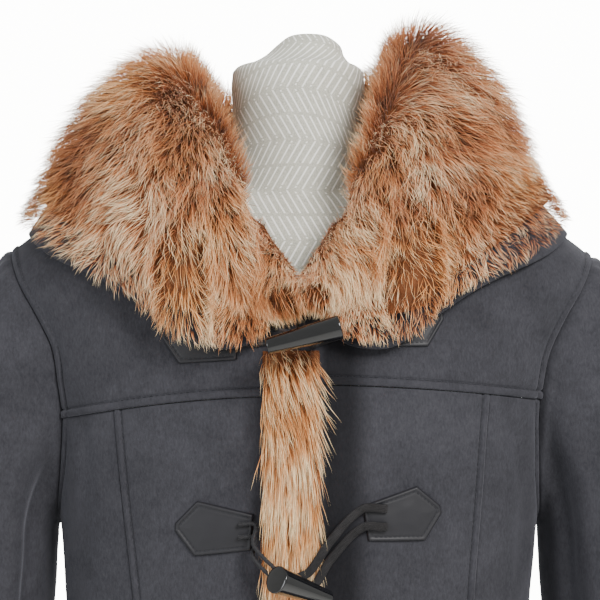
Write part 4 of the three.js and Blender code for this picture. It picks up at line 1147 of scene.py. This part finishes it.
class FurField:
    """A skin sampled as a grid of points, normals and flow over two parameters from 0 to 1."""

    def __init__(self, skin, normals, flow, depth):
        self.layers = np.concatenate([skin, normals, flow, depth[..., None]], -1)

    def at(self, u, v):
        rows, columns = self.layers.shape[:2]
        x, y = np.clip(u, 0, 1) * (columns - 1.001), np.clip(v, 0, 1) * (rows - 1.001)
        i, j = y.astype(int), x.astype(int)
        a, b = (y - i)[:, None], (x - j)[:, None]
        g = self.layers
        found = (g[i, j] * (1 - a) * (1 - b) + g[i, j + 1] * (1 - a) * b + g[i + 1, j] * a * (1 - b)
                 + g[i + 1, j + 1] * a * b)
        skin, normal, flow = found[:, :3], found[:, 3:6], found[:, 6:9]
        normal = unit(normal)
        flow = flow - normal * (flow * normal).sum(1, keepdims=True)
        flow = flow / np.maximum(np.linalg.norm(flow, axis=1, keepdims=True), 1e-6)
        return skin, normal, flow, found[:, 9]


def swirl(p, seed):
    """How far the fur's lie turns aside at a place, in radians."""
    return 1.5 * waves(p, seed, 62) + 0.9 * waves(p, seed + 1, 24)


def locks(field, u, v, size, cell, seed, shape):
    """Hairs that gather into pointed locks: each bends towards its cell's guide, more at the tip."""
    at = np.stack([u * size[0], v * size[1]], 1)
    small, centre = nearest_cell(at, cell, seed)
    _, big_centre = nearest_cell(centre, cell * 2.3, seed + 1)

    def guide(place):
        along, down = place[:, 0] / size[0], place[:, 1] / size[1]
        skin, normal, flow, depth = field.at(along, down)
        way = shape["way"](down, along)
        turn = swirl(skin, seed) * shape["swirl"]
        return grow(skin, normal, flow, depth * shape["length"](down, along), shape["lean"][0] * way,
                    shape["lean"][1] * way, turn, shape["drop"])

    tips, big = guide(centre), guide(big_centre)
    pull = np.array([0, 0.12, 0.34, 0.55])[None, :, None]
    tips = tips + (big - tips) * pull * 0.7
    return small, tips


def hood_fur(letter, half, count, materials):
    """Half of one lobe's fur, front or back, with its felted skin where the front is made."""
    side = SIGN[letter]
    reach = (3.0, 112.0) if half == "front" else (112.0, 180.0)
    angles, vs = np.linspace(3, 180, 108), np.linspace(0, 1, 48)
    base = hood_grid(letter, angles, vs)
    normals = grid_normals(base) * -side
    depth = fur_depth(angles, vs)
    edge = np.minimum(1, np.sqrt(np.maximum(1 - np.maximum(vs * 7 - 6, 0) ** 2, 0)))[:, None]
    notch = (1 - smooth(14, 40, angles))[None] * (1 - smooth(0.1, 0.4, vs))[:, None]
    felt = 0.34 * depth * edge * (1 - 0.7 * notch) + 0.4
    lumps = waves(base, RNG_SEED + 31, 26)
    skin = base + normals * (felt * (1 + 0.25 * lumps))[..., None]
    if half == "front":
        shown = skin[vs < UNDER_FUR_END]
        q = shown if side < 0 else shown[:, ::-1]
        obj = mesh_object(f"hood_underfur_{letter}", q * MM, grid_faces(*q.shape[:2]), materials["under"])
        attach(obj, "root")
    flow = np.gradient(base, axis=0)
    field = FurField(skin - normals * 2.0, normals, flow, depth)
    rng = np.random.default_rng(RNG_SEED + (100 if side > 0 else 200) + (7 if half == "back" else 0))
    low, high = ((a - 3) / 177 for a in reach)
    u = rng.uniform(low, high, count)
    v = 0.95 * rng.uniform(0, 1, count) ** 0.88
    size = (470.0, 175.0)
    root, normal, flow_at, deep = field.at(u, v)

    def front_of(u):
        return 1 - smooth(10, 36, 3 + 177 * u)

    def way_of(v, u):
        return np.clip(-0.12 + 1.12 * smooth(0.05, 0.5, v) + 1.1 * front_of(u) * (1 - v), -1, 1)

    def length_of(v, u):
        near = 0.2 if side < 0 else 0.32
        inner = near + (1 - near) * smooth(0.12, 0.45, v)
        inner = inner * (1 - 0.62 * front_of(u) * (1 - smooth(0.3, 0.6, v)))
        outer = 1 - (0.4 if side < 0 else 0.62) * smooth(0.6, 0.92, v)
        return inner * (0.85 + 0.2 * np.abs(way_of(v, u))) * outer

    shape = {"length": length_of, "lean": (0.5, 1.2), "drop": 0.22, "way": way_of, "swirl": 1.0}
    _, tips = locks(field, u, v, size, 9.5, RNG_SEED + 300 + int(side), shape)
    length = (np.maximum(deep, 8) * rng.uniform(0.7, 1.25, count) + 4) * length_of(v, u)
    way = way_of(v, u)
    lean0, lean1 = rng.normal(0.5, 0.22, count) * way, rng.normal(1.15, 0.25, count) * way
    turn = swirl(root, RNG_SEED + 300 + int(side)) + rng.normal(0, 0.4, count)
    hairs = grow(root, normal, flow_at, length, lean0, lean1, turn, 0.22)
    own = rng.beta(2.4, 3, count) * (rng.uniform(0, 1, count) > 0.25)
    pull = np.array([0, 0.2, 0.48, 0.72])[None, :, None] * own[:, None, None]
    hairs = hairs + (tips - hairs) * pull
    pale, gold = fur_zone(hairs[:, 1], RNG_SEED + 80)
    twist = rng.normal(0, 0.6, count)
    width = rng.uniform(0.26, 0.54, count)
    name = f"hood_fur_hairs_{letter}_{half}"
    obj = fur_object(name, hairs, normal, width, twist, rng, pale, gold, materials["hairs"])
    return finish_piece(obj, [f"hood_fur_{letter}"] if half == "front" else [])


def band_grid(us, vs, rise):
    """The front band's surface: a low arch across the front edge, following the coat down."""
    uu, vv = np.meshgrid(us, vs)
    x = -25 + 40 * uu
    z = 1257 + (HEM_Z + 2 - 1257) * vv
    arch = np.sqrt(np.maximum(1 - np.abs(2 * uu - 1) ** 3, 0))
    arch = arch * np.sqrt(np.clip(1 - (1 - np.clip(vv / 0.012, 0, 1)) ** 2, 0, 1))
    return np.stack([x, -(coat_depth("front", np.abs(x), z) + 1 + rise * (3 + 19 * arch)), z], -1)


def band_fur(count, materials):
    """The fur down the front edge, its hairs lying downwards and out to both sides."""
    us, vs = np.linspace(0, 1, 18), np.linspace(0, 1, 180)
    skin = band_grid(us, vs, 0.42)
    lumps = waves(skin, RNG_SEED + 33, 22)
    normals = -grid_normals(skin)
    skin = skin + normals * (1.6 * lumps)[..., None]
    q = skin[:, ::-1]
    under = mesh_object("front_underfur", q * MM, grid_faces(*q.shape[:2]), materials["under"])
    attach(under, "root")
    flow = np.zeros_like(skin)
    flow[..., 2] = -1
    flow[..., 0] = (np.linspace(-1, 1, 18) ** 3 * 0.12)[None]
    rough = np.full(skin.shape[:2], 20.0)
    ahead = unit(normals * (0.3, 1, 1))
    field = FurField(skin - normals, ahead, flow, rough)
    rng = np.random.default_rng(RNG_SEED + 500)
    u, v = rng.uniform(0.05, 0.95, count), rng.uniform(0, 1, count)
    root, normal, flow_at, deep = field.at(u, v)

    def flare(v):
        return np.exp(-(((v - 0.03) / 0.05) ** 2)) + 0.8 * np.exp(-(((v - 0.24) / 0.025) ** 2))

    shape = {"length": lambda v, u: 1.5 - 0.3 * flare(v), "lean": (0.85, 1.48), "drop": 0.25,
             "way": lambda v, u: 1 - 0.2 * flare(v), "swirl": 0.22}
    _, tips = locks(field, u, v, (40.0, 700.0), 9.0, RNG_SEED + 520, shape)
    length = deep * rng.uniform(1.0, 1.8, count) + 4
    lean0 = rng.normal(0.95, 0.2, count) * (1 - 0.3 * flare(v))
    lean1 = rng.normal(1.42, 0.14, count) * (1 - 0.25 * flare(v))
    turn = 0.22 * swirl(root, RNG_SEED + 520) + rng.normal(0, 0.14, count)
    turn = turn + 0.55 * flare(v)
    hairs = grow(root, normal, flow_at, length, lean0, lean1, turn, 0.25)
    own = rng.beta(2, 3, count) * (rng.uniform(0, 1, count) > 0.25)
    hairs = hairs + (tips - hairs) * np.array([0, 0.25, 0.55, 0.8])[None, :, None] * own[:, None, None]
    pale, gold = fur_zone(hairs[:, 1], RNG_SEED + 85)
    pale, gold = np.clip(pale + 0.14, 0, 1), np.clip(gold * 0.5 + 0.5, 0, 1)
    obj = fur_object("front_fur_hairs", hairs, normal, rng.uniform(0.26, 0.55, count),
                     rng.normal(0, 0.6, count), rng, pale, gold, materials["hairs"])
    return finish_piece(obj, ["front_fur_band"])


# Closures

def path_through(points, pitch):
    """A smooth path through points: a cubic between neighbours over the run between them."""
    points = np.array(points, float)
    run = run_of(points)
    at = np.linspace(0, run[-1], max(int(run[-1] / pitch), 8))
    table = np.column_stack([run, points])
    return np.stack([curve(table, k, at) for k in (1, 2, 3)], -1), at


def along_path(path, profile):
    """A closed profile (across, out, per path point) carried along a path, its outward side forward."""
    way = unit(np.gradient(path, axis=0))
    out = unit(FORWARD - way * (way @ FORWARD)[:, None])
    across = np.cross(way, out)
    return path[:, None] + across[:, None] * profile[..., :1] + out[:, None] * profile[..., 1:]


def capped(q):
    """The grid with its first and last rings drawn to their middles."""
    ends = [np.repeat(ring.mean(0, keepdims=True), q.shape[1], 0)[None] for ring in (q[0], q[-1])]
    return np.concatenate([ends[0], q, ends[1]])


def patch_outline():
    """The patch's six corners and inward edge normals: widest past its middle, then a blunt tip."""
    inside, middle, tip = PATCH_SIDES
    upper = [(PATCH_HALF, tip), (PATCH_WIDEST, middle), (-PATCH_HALF, inside)]
    corners = np.array([(x, -y) for x, y in upper[::-1]] + upper, float)
    edge = np.roll(corners, -1, 0) - corners
    normal = np.stack([-edge[:, 1], edge[:, 0]], 1) / np.linalg.norm(edge, axis=1, keepdims=True)
    return corners, normal


def place_on_front(letter, cx, cz, turn, across, up, lift):
    """A point of a patch's plane, turned about its middle and laid on the coat's front."""
    a, side = math.radians(turn), SIGN[letter]
    across = across * side
    x = cx + across * math.cos(a) - up * math.sin(a)
    z = cz + across * math.sin(a) + up * math.cos(a)
    return body_point(letter, "front", np.abs(x), z, SEAM + 0.8 + lift)


def patch_piece(name, node, letter, where, leather, threads):
    """A leather patch: a raised rim outside its stitch line, a soft dome inside, and rounded edges."""
    cx, cz, turn = where
    corners, normal = patch_outline()
    u, v = np.linspace(0, 1, 56), np.linspace(-1, 1, 38)
    across = -PATCH_HALF + 2 * PATCH_HALF * u
    half = np.interp(across, [-PATCH_HALF, PATCH_WIDEST, PATCH_HALF], PATCH_SIDES)
    xx, yy = np.meshgrid(across, v)
    yy = yy * half[None]
    far = np.stack([(xx - c[0]) * n[0] + (yy - c[1]) * n[1] for c, n in zip(corners, normal)])
    d = np.maximum(far.min(0), 0)
    rim = 0.4 * np.exp(-(((d - 1.6) / 1.1) ** 2)) - 0.45 * np.exp(-(((d - PATCH_STITCH) / 0.7) ** 2))
    dome = 0.5 * smooth(5, 14, d) + 0.15 * np.sin(xx * 0.4) * smooth(6, 12, d)
    rounded = np.sqrt(np.clip(1 - (1 - np.clip(d / 1.4, 0, 1)) ** 2, 0, 1))
    top = 2.3 * rounded + (rim + dome) * smooth(0, 1, d)
    outer = place_on_front(letter, cx, cz, turn, xx, yy, top)
    skirt = place_on_front(letter, cx, cz, turn, xx, yy, 0 * top - 0.5)
    q = np.concatenate([skirt[:1], outer, skirt[-1:]])
    edge_l = np.concatenate([skirt[:1, :1], skirt[:, :1], skirt[-1:, :1]])
    edge_r = np.concatenate([skirt[:1, -1:], skirt[:, -1:], skirt[-1:, -1:]])
    q = np.concatenate([edge_l, q, edge_r], 1)
    faces = grid_faces(*q.shape[:2])
    out = grid_normals(outer)
    facing = 1 if (out[26, 30, 1] < 0) else -1
    far = np.pad(d, 1, mode="edge") / 20
    obj = mesh_object(name, q * MM, faces if facing > 0 else faces[:, ::-1], leather, True,
                      {"edge": np.stack([far, 0 * far], -1)})
    ring = []
    for k in range(6):
        a, b = normal[k - 1], normal[k]
        inset = [a @ corners[k - 1] + PATCH_STITCH, b @ corners[k] + PATCH_STITCH]
        ring.append(np.linalg.solve(np.stack([a, b]), inset))
    ring = np.array(ring + [ring[0]])
    sides = [np.linspace(ring[k], ring[k + 1], 40)[:-1] for k in range(6)]
    line = np.concatenate(sides + [ring[:1]])
    path = place_on_front(letter, cx, cz, turn, line[:, 0], line[:, 1], np.full(len(line), 1.75))
    out = np.tile(FORWARD, (len(path), 1))
    threads.add(path, out, pitch=3.4, long=2.3, wide=0.6)
    return finish_piece(obj, [node])


def band_front(z):
    return float(coat_depth("front", 0.0, np.array(float(z)))) + 1 + BAND_HIGH


def closure_paths(row):
    """The strap's and the cord's routes between the patches and round the toggle, as in the solids."""
    (lx, lz, _), (rx, rz, _), (tx, tz, _, swing) = row["left"], row["right"], row["toggle"]
    out, low = row["out"], row["low"]

    def over(x, z, by):
        return -(float(coat_depth("front", abs(x), np.array(float(z)))) + by)

    on_patch = 1.0 + 0.8 + 2.4 + STRAP_HALF
    ahead = band_front(tz) + out + 0.4 + STRAP_HALF + over(0, tz, 0)
    loop_ahead = ahead if out else ahead - LOOP_SINK
    inner = on_patch - 0.6 if out else ahead / 2 + 5
    edges = (-17, 15) if out else (-31, 23)

    def strap(dz):
        return [(rx - 12, over(rx - 12, rz, on_patch), rz + dz),
                (rx - 30, over(rx - 30, rz, on_patch + 1), rz + dz),
                (edges[1], over(edges[1], tz, inner), tz + (rz - tz) * (0.5 - low / 4) + dz),
                (tx + 5, over(0, tz, loop_ahead), tz + dz)]

    strap_line = strap(6.5 - low) + [(tx - 6, over(0, tz, loop_ahead), tz)] + strap(low - 6.5)[::-1]
    cord_ahead = ahead + 0.9 + 0.4 + CORD_HALF

    def cord(dz):
        return [(lx + 18, over(lx + 18, lz, on_patch), lz + dz),
                (lx + 30, over(lx + 30, lz, on_patch + 0.6), lz + dz),
                (edges[0], over(edges[0], tz, inner), tz + (lz - tz) * 0.6 + dz),
                (tx - 12, over(0, tz, cord_ahead), tz + dz * 0.7)]

    middle, _, inward = toggle_frame(row)
    beside = middle + inward * (TOGGLE_RADIUS + 0.4 + CORD_HALF + 0.3)
    seat = beside if swing else (tx + 1, over(0, tz, cord_ahead), tz)
    cord_line = cord(4.5) + [tuple(seat)] + cord(-4.5)[::-1]
    return strap_line, cord_line


def strap_piece(name, node, line, material):
    """A flat strap: a rounded oblong carried along its path, with its run and girth as a map."""
    path, at = path_through(line, 0.9)
    turn = np.linspace(0, 2 * math.pi, 20, endpoint=False)
    across = 3.1 * np.sign(np.cos(turn)) * np.abs(np.cos(turn)) ** 0.45
    out = 0.95 * np.sign(np.sin(turn)) * np.abs(np.sin(turn)) ** 0.7
    profile = np.tile(np.stack([across, out], -1)[None], (len(path), 1, 1))
    q = capped(along_path(path, profile))
    girth = np.tile(np.cumsum(np.hypot(np.diff(across, prepend=across[-1]), np.diff(out, prepend=out[-1]))),
                    (len(q), 1))
    run = np.repeat(np.concatenate([at[:1], at, at[-1:]])[:, None], len(turn), 1)
    obj = mesh_object(name, q * MM, grid_faces(*q.shape[:2], True)[:, ::-1], material, True,
                      {"run": np.stack([run, girth], -1)})
    return finish_piece(obj, [node])


def cord_piece(name, node, line, material):
    """A laid cord: three lobes that turn round the path once in 9 mm."""
    path, at = path_through(line, 0.7)
    turn = np.linspace(0, 2 * math.pi, 18, endpoint=False)
    lobes = np.abs(np.cos(1.5 * (turn[None] - at[:, None] * 2 * math.pi / 9)))
    radius = 1.05 + 0.5 * lobes
    profile = np.stack([radius * np.cos(turn), radius * np.sin(turn)], -1)
    q = capped(along_path(path, profile))
    obj = mesh_object(name, q * MM, grid_faces(*q.shape[:2], True)[:, ::-1], material)
    return finish_piece(obj, [node])


def toggle_frame(row):
    """A toggle's middle, its axis from left to right, and the way in to the coat square to it."""
    cx, cz, turn, swing = row["toggle"]
    y = -(band_front(cz) + row["out"] + 2.7 + 3 + 1.04 + TOGGLE_RADIUS + row["stand"])
    level, turn = math.cos(math.radians(swing)), math.radians(turn)
    axis = np.array([level * math.cos(turn), math.sin(math.radians(swing)), level * math.sin(turn)])
    inward = np.array([0, 1.0, 0]) - axis * axis[1]
    return np.array([cx, y, cz]), axis, inward / np.linalg.norm(inward)


def toggle_piece(name, node, row, material):
    """A tapered horn peg: crisp rims round domed ends, and an oval hollow with a raised lip."""
    middle, axis, inward = toggle_frame(row)
    up = np.cross(axis, inward)
    left, right = row["ends"]
    rim, bevel = [0.47, 0.485, 0.494, 0.4995], [1.0, 0.997, 0.985, 0.955]
    s = np.concatenate([-0.5 - 0.012 * np.cos(np.linspace(0, 1.5, 8)), [-r for r in rim[::-1]],
                        np.linspace(-0.45, 0.45, 90), rim,
                        0.5 + 0.012 * np.sin(np.linspace(0.07, 1.57, 8))])
    shrink = np.concatenate([np.sin(np.linspace(0.05, 1.5, 8)) * 0.93, bevel[::-1], np.ones(90),
                             bevel, 0.93 * np.cos(np.linspace(0.07, 1.52, 8))])
    radius = (left + (right - left) * np.clip(s + 0.5, 0, 1)) * shrink
    turns = np.linspace(0, 2 * math.pi, 96, endpoint=False)
    off = (turns + math.pi / 2 + 0.35) % (2 * math.pi) - math.pi
    ss, tt = np.meshgrid(s * TOGGLE_LONG, off, indexing="ij")
    oval = np.sqrt((ss / 5.6) ** 2 + (tt * 6.6 / 3.1) ** 2)
    dent = -2.6 * (1 - smooth(0.45, 0.95, oval)) + 0.5 * np.exp(-(((oval - 1.12) / 0.13) ** 2))
    grown = radius[:, None] + dent
    centre = middle + s[:, None] * TOGGLE_LONG * axis
    ring = up * np.cos(turns)[:, None] + inward * np.sin(turns)[:, None]
    q = capped(centre[:, None] + ring[None] * grown[..., None])
    obj = mesh_object(name, q * MM, grid_faces(*q.shape[:2], True), material)
    return finish_piece(obj, [node])


# Dress form and stand

def form_piece(jersey):
    """The form: rings of its radius from the underside to the neck, then the cap's dome and knob."""
    angles = np.linspace(0, 180, 55)
    low = np.concatenate([np.linspace(745, 1280, 60), np.linspace(1284, 1400, 50),
                          np.linspace(1403, 1470, 24)])
    z, a = np.meshgrid(low, angles, indexing="ij")
    r = form_radius(a, z)
    r[0] -= 8
    half = np.stack([r * np.sin(np.radians(a)), -r * np.cos(np.radians(a)), z], -1)
    k = np.linspace(0.15, 6, 36)[:, None] + 0 * angles[None]
    high, wide, aside = (curve(CAP, c, k) for c in (1, 2, 3))
    turn = np.radians(angles)[None]
    tops = np.stack([wide * np.sin(turn), -wide * np.cos(turn), high], -1)
    shift = np.concatenate([0 * low, aside[:, 0]])[:, None]
    half = np.concatenate([half, tops])
    mirror = half[:, -2:0:-1] * (-1, 1, 1)
    q = np.concatenate([half, mirror], 1)
    q[..., 0] += shift
    girth = np.linalg.norm(np.roll(q, -1, 1) - q, axis=-1)
    run = np.cumsum(girth, 1) - girth
    total = girth.sum(1, keepdims=True)
    run = np.where(run > total / 2, run - total, run)
    q = capped(q)
    run = np.concatenate([run[:1], run, run[-1:]])
    droop = 13 * np.clip(((run + 4) / 48) ** 2, 0, 1.4) * np.clip((q[..., 2] - 1365) / 75, 0, 1)
    up = q[..., 2] - 1452.5 + CHEVRON * 20 + droop
    faces = grid_faces(*q.shape[:2], True)
    obj = mesh_object("form_body", q * MM, faces, jersey, True, {"cloth": np.stack([run, up], -1)})
    return finish_piece(obj, ["dress_form"])


def dressed_stand(paint):
    for node in ("stand_pole", "stand_base"):
        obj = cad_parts[node]
        obj.material_slots[0].link = "OBJECT"
        obj.material_slots[0].material = paint


# Stage

def area_light(name, place, aim, size, power, colour):
    """A soft rectangular light at a place, facing an aim."""
    data = bpy.data.lights.new(name, "AREA")
    data.shape = "RECTANGLE"
    data.size, data.size_y = size
    data.energy = power
    data.color = colour
    obj = bpy.data.objects.new(name, data)
    bpy.context.scene.collection.objects.link(obj)
    obj.location = place
    obj.rotation_euler = (Vector(aim) - Vector(place)).to_track_quat("-Z", "Y").to_euler()


def floor_piece(colour):
    """A pale disc under the stand: rings of points out from its middle."""
    r = np.array([0.001, 0.4, 1.0, 2.0, 3.2])[:, None]
    turn = np.linspace(0, 2 * math.pi, 64, endpoint=False)[None]
    p = np.stack([r * np.cos(turn), r * np.sin(turn), 0 * r * turn - 0.0005], -1)
    floor = mesh_object("floor", p, grid_faces(5, 64, True)[:, ::-1], plain_finish("floor", colour))


# Sizes and colours

def colour(name, description, *rgb):
    """A colour property from display values of 0 to 255."""
    return bpy.props.FloatVectorProperty(
        name=name, description=description, subtype="COLOR", size=4, default=srgb(*rgb))


def hair_count(name, description, default):
    return bpy.props.IntProperty(name=name, description=description, default=default, min=100)


class CoatCloth(bpy.types.PropertyGroup):
    """Colours of the cloth, thread and trims."""

    dark: colour("Cloth shadow", "Colour of the nap where it lies down", 36, 36, 41)
    light: colour("Cloth nap", "Colour of the nap where it stands up", 68, 68, 74)
    thread: colour("Thread", "Colour of the topstitching", 34, 35, 40)
    cord: colour("Cord", "Colour of the laid cords", 24, 24, 27)


class CoatFur(bpy.types.PropertyGroup):
    """How much fur there is and its end colours."""

    front: hair_count("Front hairs", "Hairs on the front half of each hood lobe", 30000)
    back: hair_count("Back hairs", "Hairs on the back half of each hood lobe", 12000)
    band: hair_count("Band hairs", "Hairs on the front band", 12000)
    pale: colour("Fur tips", "Palest colour of the hair tips", 252, 230, 190)
    dark: colour("Fur depths", "Darkest colour at the hair roots", 44, 24, 15)


class CoatStage(bpy.types.PropertyGroup):
    """Camera and light."""

    lens: bpy.props.FloatProperty(
        name="Lens", description="Focal length of the camera", default=96.0, unit="CAMERA")
    distance: bpy.props.FloatProperty(
        name="Distance", description="Camera's distance from the side plane", default=1.25, unit="LENGTH")
    height: bpy.props.FloatProperty(
        name="Height", description="Camera's height above the floor", default=1.293, unit="LENGTH")
    backdrop: colour("Backdrop", "Colour of the surroundings", 226, 226, 222)


# Steps

THREADS = Threads()


def made(name, maker, *values):
    """A material by name, made the first time that it is asked for."""
    return bpy.data.materials.get(name) or maker(name, *values)


def coat_cloth():
    looks = bpy.context.scene.coat_cloth
    return made("brushed_cloth", cloth_finish, tuple(looks.dark), tuple(looks.light))


def coat_thread():
    return made("topstitch", thread_finish, tuple(bpy.context.scene.coat_cloth.thread))


class COAT_OT_stage(bpy.types.Operator):
    """Camera, lights, surroundings and floor"""

    bl_idname = "coat.stage"
    bl_label = "Stage"

    def execute(self, context):
        looks = context.scene.coat_stage
        camera = bpy.data.cameras.new("camera")
        camera.lens, camera.sensor_width = looks.lens, 36.0
        camera.shift_x = 2 / 600
        obj = bpy.data.objects.new("camera", camera)
        context.scene.collection.objects.link(obj)
        obj.location = (0, -looks.distance, looks.height)
        obj.rotation_euler = (math.pi / 2, 0, 0)
        context.scene.camera = obj
        world = bpy.data.worlds.new("surroundings")
        world.use_nodes = True
        shade = world.node_tree.nodes["Background"]
        shade.inputs["Color"].default_value = tuple(looks.backdrop)
        t = Tree(world.node_tree)
        seen = t.add("ShaderNodeLightPath").outputs["Is Camera Ray"]
        world.node_tree.links.new(t.math("MULTIPLY_ADD", seen, 18.0, 0.75), shade.inputs["Strength"])
        context.scene.world = world
        area_light("key", (1.1, -1.9, 2.5), (0, 0, 1.25), (0.8, 0.8), 76, (1, 0.98, 0.96))
        area_light("fill", (-1.9, -1.7, 1.6), (0, 0, 1.2), (1.0, 1.4), 24, (0.95, 0.97, 1))
        area_light("rim", (0.4, 1.6, 2.4), (0, 0, 1.35), (1.2, 0.8), 26, (1, 1, 1))
        floor_piece(srgb(244, 244, 242))
        return {"FINISHED"}


class COAT_OT_form(bpy.types.Operator):
    """The dress form and its stand"""

    bl_idname = "coat.form"
    bl_label = "Dress form and stand"

    def execute(self, context):
        form_piece(made("chevron_jersey", jersey_finish))
        dressed_stand(made("stand_paint", stand_finish))
        return {"FINISHED"}


class COAT_OT_body(bpy.types.Operator):
    """Yokes, fronts and back"""

    bl_idname = "coat.body"
    bl_label = "Coat body"

    def execute(self, context):
        for letter in ("L", "R"):
            side_panels(letter, coat_cloth(), THREADS)
        back_panel(coat_cloth(), THREADS)
        return {"FINISHED"}


class COAT_OT_sleeves(bpy.types.Operator):
    """Both sleeves"""

    bl_idname = "coat.sleeves"
    bl_label = "Sleeves"

    def execute(self, context):
        for letter in ("L", "R"):
            sleeve_piece(letter, coat_cloth(), THREADS)
        return {"FINISHED"}


class COAT_OT_hood(bpy.types.Operator):
    """The hood's cloth and its pouch at the back"""

    bl_idname = "coat.hood"
    bl_label = "Hood cloth"

    def execute(self, context):
        for letter in ("L", "R"):
            hood_shell(letter, coat_cloth(), THREADS)
        pouch_piece(coat_cloth())
        return {"FINISHED"}


class COAT_OT_fur(bpy.types.Operator):
    """The hood's fur and the band down the front"""

    bl_idname = "coat.fur"
    bl_label = "Fur"

    def execute(self, context):
        looks = context.scene.coat_fur
        materials = {"hairs": made("fur_hairs", fur_finish, tuple(looks.pale), tuple(looks.dark)),
                     "under": made("fur_skin", under_fur_finish)}
        for letter in ("L", "R"):
            hood_fur(letter, "front", looks.front, materials)
            hood_fur(letter, "back", looks.back, materials)
        band_fur(looks.band, materials)
        return {"FINISHED"}


class COAT_OT_closures(bpy.types.Operator):
    """Patches, straps, cords and toggles"""

    bl_idname = "coat.closures"
    bl_label = "Closures"

    def execute(self, context):
        leather, strap = made("leather", leather_finish), made("braided_strap", strap_finish)
        horn = made("black_horn", horn_finish)
        cord = made("laid_cord", thread_finish, tuple(context.scene.coat_cloth.cord))
        for number, row in enumerate(CLOSURES, 1):
            patch_piece(f"patch_face_L_{number}", f"patch_L_{number}", "L", row["left"], leather, THREADS)
            patch_piece(f"patch_face_R_{number}", f"patch_R_{number}", "R", row["right"], leather, THREADS)
            strap_line, cord_line = closure_paths(row)
            strap_piece(f"strap_{number}", f"loop_R_{number}", strap_line, strap)
            cord_piece(f"laid_cord_{number}", f"cord_L_{number}", cord_line, cord)
            toggle_piece(f"horn_toggle_{number}", f"toggle_{number}", row, horn)
        return {"FINISHED"}


class COAT_OT_thread(bpy.types.Operator):
    """All topstitching as one piece"""

    bl_idname = "coat.thread"
    bl_label = "Topstitching"

    def execute(self, context):
        finish_piece(THREADS.build("topstitching", coat_thread()), [])
        return {"FINISHED"}


STEPS = (COAT_OT_stage, COAT_OT_form, COAT_OT_body, COAT_OT_sleeves, COAT_OT_hood, COAT_OT_fur,
         COAT_OT_closures, COAT_OT_thread)


class COAT_PT_panel(bpy.types.Panel):
    """Lists the coat's sizes, colours and steps"""

    bl_idname = "COAT_PT_panel"
    bl_label = "Hooded coat"
    bl_space_type = "VIEW_3D"
    bl_region_type = "UI"
    bl_category = "Coat"

    def draw(self, context):
        for group in (context.scene.coat_cloth, context.scene.coat_fur, context.scene.coat_stage):
            box = self.layout.box()
            for name in group.__annotations__:
                box.prop(group, name)
        for step in STEPS:
            self.layout.operator(step.bl_idname)


GROUPS = {"coat_cloth": CoatCloth, "coat_fur": CoatFur, "coat_stage": CoatStage}


def register():
    for cls in (*GROUPS.values(), *STEPS, COAT_PT_panel):
        bpy.utils.register_class(cls)
    for name, cls in GROUPS.items():
        setattr(bpy.types.Scene, name, bpy.props.PointerProperty(type=cls))


def unregister():
    for name in GROUPS:
        delattr(bpy.types.Scene, name)
    for cls in (COAT_PT_panel, *reversed(STEPS), *reversed(GROUPS.values())):
        bpy.utils.unregister_class(cls)


def main():
    register()
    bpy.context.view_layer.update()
    nap_group()
    grain_group()
    for step in STEPS:
        getattr(bpy.ops.coat, step.bl_idname.split(".")[1])()


if __name__ == "__main__":
    main()
